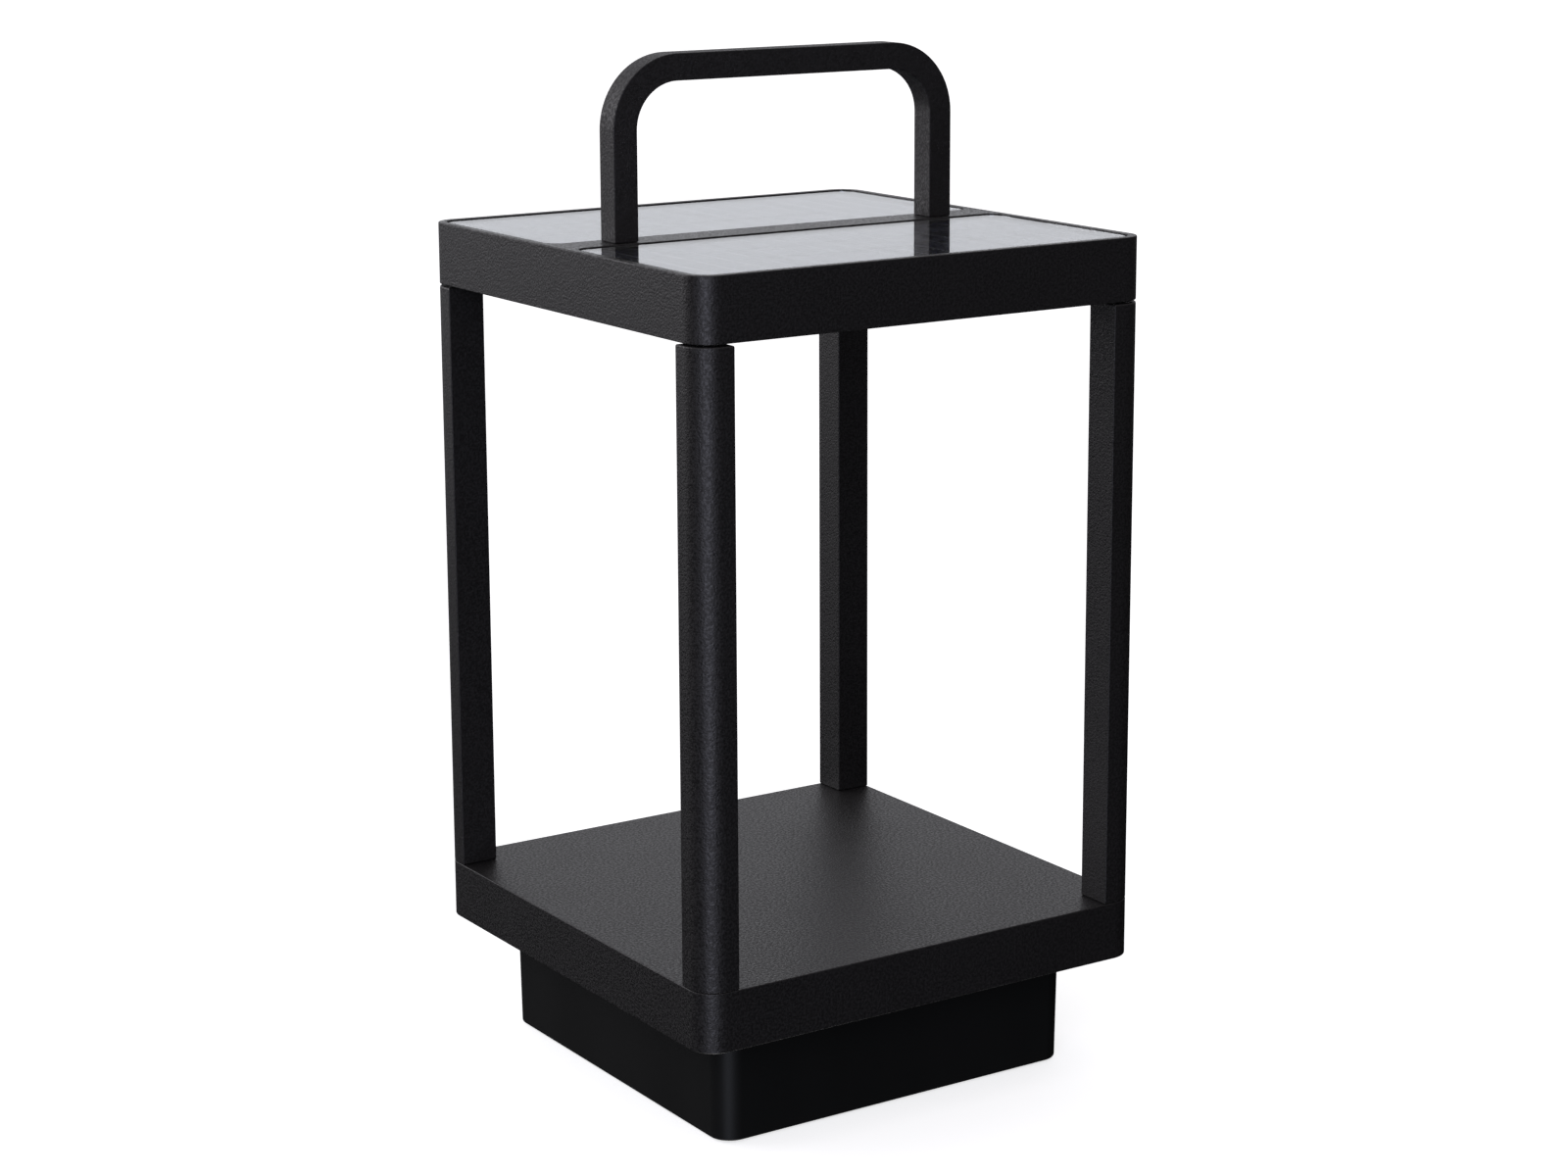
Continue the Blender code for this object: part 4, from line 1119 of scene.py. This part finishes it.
# ---------------------------------------------------------------- studio
def add_lamp(name, place, towards, width, height, power, colour):
    """Soft rectangular lamp aimed at a point, in metres."""
    light = bpy.data.lights.new(name, "AREA")
    light.shape = "RECTANGLE"
    light.size = width
    light.size_y = height
    light.energy = power
    light.color = colour
    lamp = bpy.data.objects.new(name, light)
    lamp.location = place
    aim = Vector(towards) - Vector(place)
    lamp.rotation_mode = "QUATERNION"
    lamp.rotation_quaternion = aim.to_track_quat("-Z", "Y")
    lamp.visible_camera = False
    bpy.context.scene.collection.objects.link(lamp)


class LANTERN_OT_stage(bpy.types.Operator):
    """Pale floor, studio sky, soft lamps and the camera"""

    bl_idname = "lantern.stage"
    bl_label = "Stage"

    def execute(self, context):
        self.add_floor()
        self.add_sky()
        self.add_lamps()
        self.add_camera()
        bpy.context.scene.view_settings.view_transform = "Standard"
        return {"FINISHED"}

    def add_floor(self):
        """Floor that only the camera sees, so that lamps and sky alone light the lantern."""
        skin = Skin()
        outline = round_outline(0.0, 0.0, FLOOR_REACH, 96)
        skin.pit(outline, ((0.0, 0.0), (FLOOR_REACH * 0.95, 0.0)))
        floor = mesh_object("studio_floor", skin, [self.floor_finish()])
        for kind in ("diffuse", "glossy", "transmission", "volume_scatter", "shadow"):
            setattr(floor, f"visible_{kind}", False)

    def floor_finish(self):
        """Pale paper, clear from behind so that the lantern's underside can be seen."""
        material = bpy.data.materials.new("floor_paper")
        material.use_nodes = True
        board = Board(material.node_tree)
        grain = board.noise(board.place(), 60.0, detail=3.0)
        floor = colours().floor
        paper = board.node("ShaderNodeBsdfDiffuse", {}, {
            "Color": board.blend(grain, tone(floor, 0.99), tone(floor, 1.01)),
        })
        lift = board.node("ShaderNodeEmission", {}, {"Color": tone(floor), "Strength": 0.8})
        paper = board.node("ShaderNodeAddShader", {}, {0: paper, 1: lift})
        clear = board.node("ShaderNodeBsdfTransparent", {}, {})
        behind = board.node("ShaderNodeNewGeometry", {}, {}, output="Backfacing")
        both = board.node("ShaderNodeMixShader", {}, {0: behind, 1: paper, 2: clear})
        board.node("ShaderNodeOutputMaterial", {}, {"Surface": both})
        return material

    def add_sky(self):
        """Sky that looks white and lights the lantern by direction, mostly from behind."""
        world = bpy.data.worlds.new("studio_sky")
        world.use_nodes = True
        board = Board(world.node_tree)
        direction = board.node("ShaderNodeTexCoord", {}, {}, output="Generated")
        x, y, z = board.axes(direction)
        above = board.smooth(z, -0.22, 0.09)
        behind = board.smooth(y, 0.05, 0.85)
        beside = board.smooth(y * 0.86 - x * 0.5, 0.80, 1.0)
        left = board.smooth(0.0 - x, -0.1, 0.9)
        top = board.smooth(z, 0.25, 0.95)
        low_band = 1.0 - board.smooth(z, 0.10, 0.50) * 0.3
        amount = above * low_band * (0.10 + behind * 0.72 + left * 0.12 + beside * 0.80) + top * 0.5
        hue = board.blend(behind, (1.0, 0.955, 0.985, 1.0), (0.965, 0.98, 1.03, 1.0))
        sky = board.node("ShaderNodeBackground", {}, {"Color": hue, "Strength": amount})
        white = board.node("ShaderNodeBackground", {}, {"Color": (1.0, 1.0, 1.0, 1.0)})
        seen = board.node("ShaderNodeLightPath", {}, {}, output="Is Camera Ray")
        both = board.node("ShaderNodeMixShader", {}, {0: seen, 1: sky, 2: white})
        board.node("ShaderNodeOutputWorld", {}, {"Surface": both})
        bpy.context.scene.world = world

    def add_lamps(self):
        middle = (0.0, 0.0, 0.2)
        add_lamp("lamp_front_left", (-0.82, -1.06, 0.3), middle, 0.75, 1.7, 9.5, (0.80, 0.85, 1.0))
        add_lamp("lamp_below", (0.0, 0.0, -1.6), middle, 0.9, 0.9, 14.0, (1.0, 1.0, 1.0))
        add_lamp("lamp_left_rear", (-1.0, 0.9, 0.75), middle, 0.9, 0.9, 3.0, (1.0, 0.97, 1.0))

    def add_camera(self):
        """Three-quarter view from the front left, a little above the head."""
        data = bpy.data.cameras.new("view")
        data.sensor_width = 36.0
        data.lens = 75.2
        data.shift_y = -0.0507
        data.clip_start = 0.01
        data.clip_end = 100.0
        camera = bpy.data.objects.new("view", data)
        camera.location = (-0.6898, -1.0520, 0.4856)
        camera.rotation_mode = "XYZ"
        camera.rotation_euler = [math.radians(turn) for turn in (78.087, 0.244, -33.342)]
        bpy.context.scene.collection.objects.link(camera)
        bpy.context.scene.camera = camera


# ---------------------------------------------------------------- panel and registration
STEPS = (
    LANTERN_OT_stage,
    LANTERN_OT_head_frame,
    LANTERN_OT_head_cover,
    LANTERN_OT_solar_panels,
    LANTERN_OT_handle,
    LANTERN_OT_posts,
    LANTERN_OT_base,
    LANTERN_OT_foot,
    LANTERN_OT_battery_door,
    LANTERN_OT_rubber_feet,
    LANTERN_OT_lamp,
    LANTERN_OT_button,
    LANTERN_OT_screws,
    LANTERN_OT_inner_parts,
)


class LANTERN_PT_sidebar(bpy.types.Panel):
    """Sizes, colours and building steps of the lantern"""

    bl_idname = "LANTERN_PT_sidebar"
    bl_label = "Solar Lantern"
    bl_space_type = "VIEW_3D"
    bl_region_type = "UI"
    bl_category = "Lantern"

    def draw(self, context):
        for group in (context.scene.lantern_sizes, context.scene.lantern_colours):
            column = self.layout.column(align=True)
            for name in group.__annotations__:
                column.prop(group, name)
        column = self.layout.column(align=True)
        for step in STEPS:
            column.operator(step.bl_idname)


def register():
    for made in (LanternSizes, LanternColours, *STEPS, LANTERN_PT_sidebar):
        bpy.utils.register_class(made)
    bpy.types.Scene.lantern_sizes = bpy.props.PointerProperty(type=LanternSizes)
    bpy.types.Scene.lantern_colours = bpy.props.PointerProperty(type=LanternColours)


def unregister():
    del bpy.types.Scene.lantern_colours
    del bpy.types.Scene.lantern_sizes
    for made in (LANTERN_PT_sidebar, *reversed(STEPS), LanternColours, LanternSizes):
        bpy.utils.unregister_class(made)


def main():
    register()
    for step in STEPS:
        group, name = step.bl_idname.split(".")
        getattr(getattr(bpy.ops, group), name)()


if __name__ == "__main__":
    main()
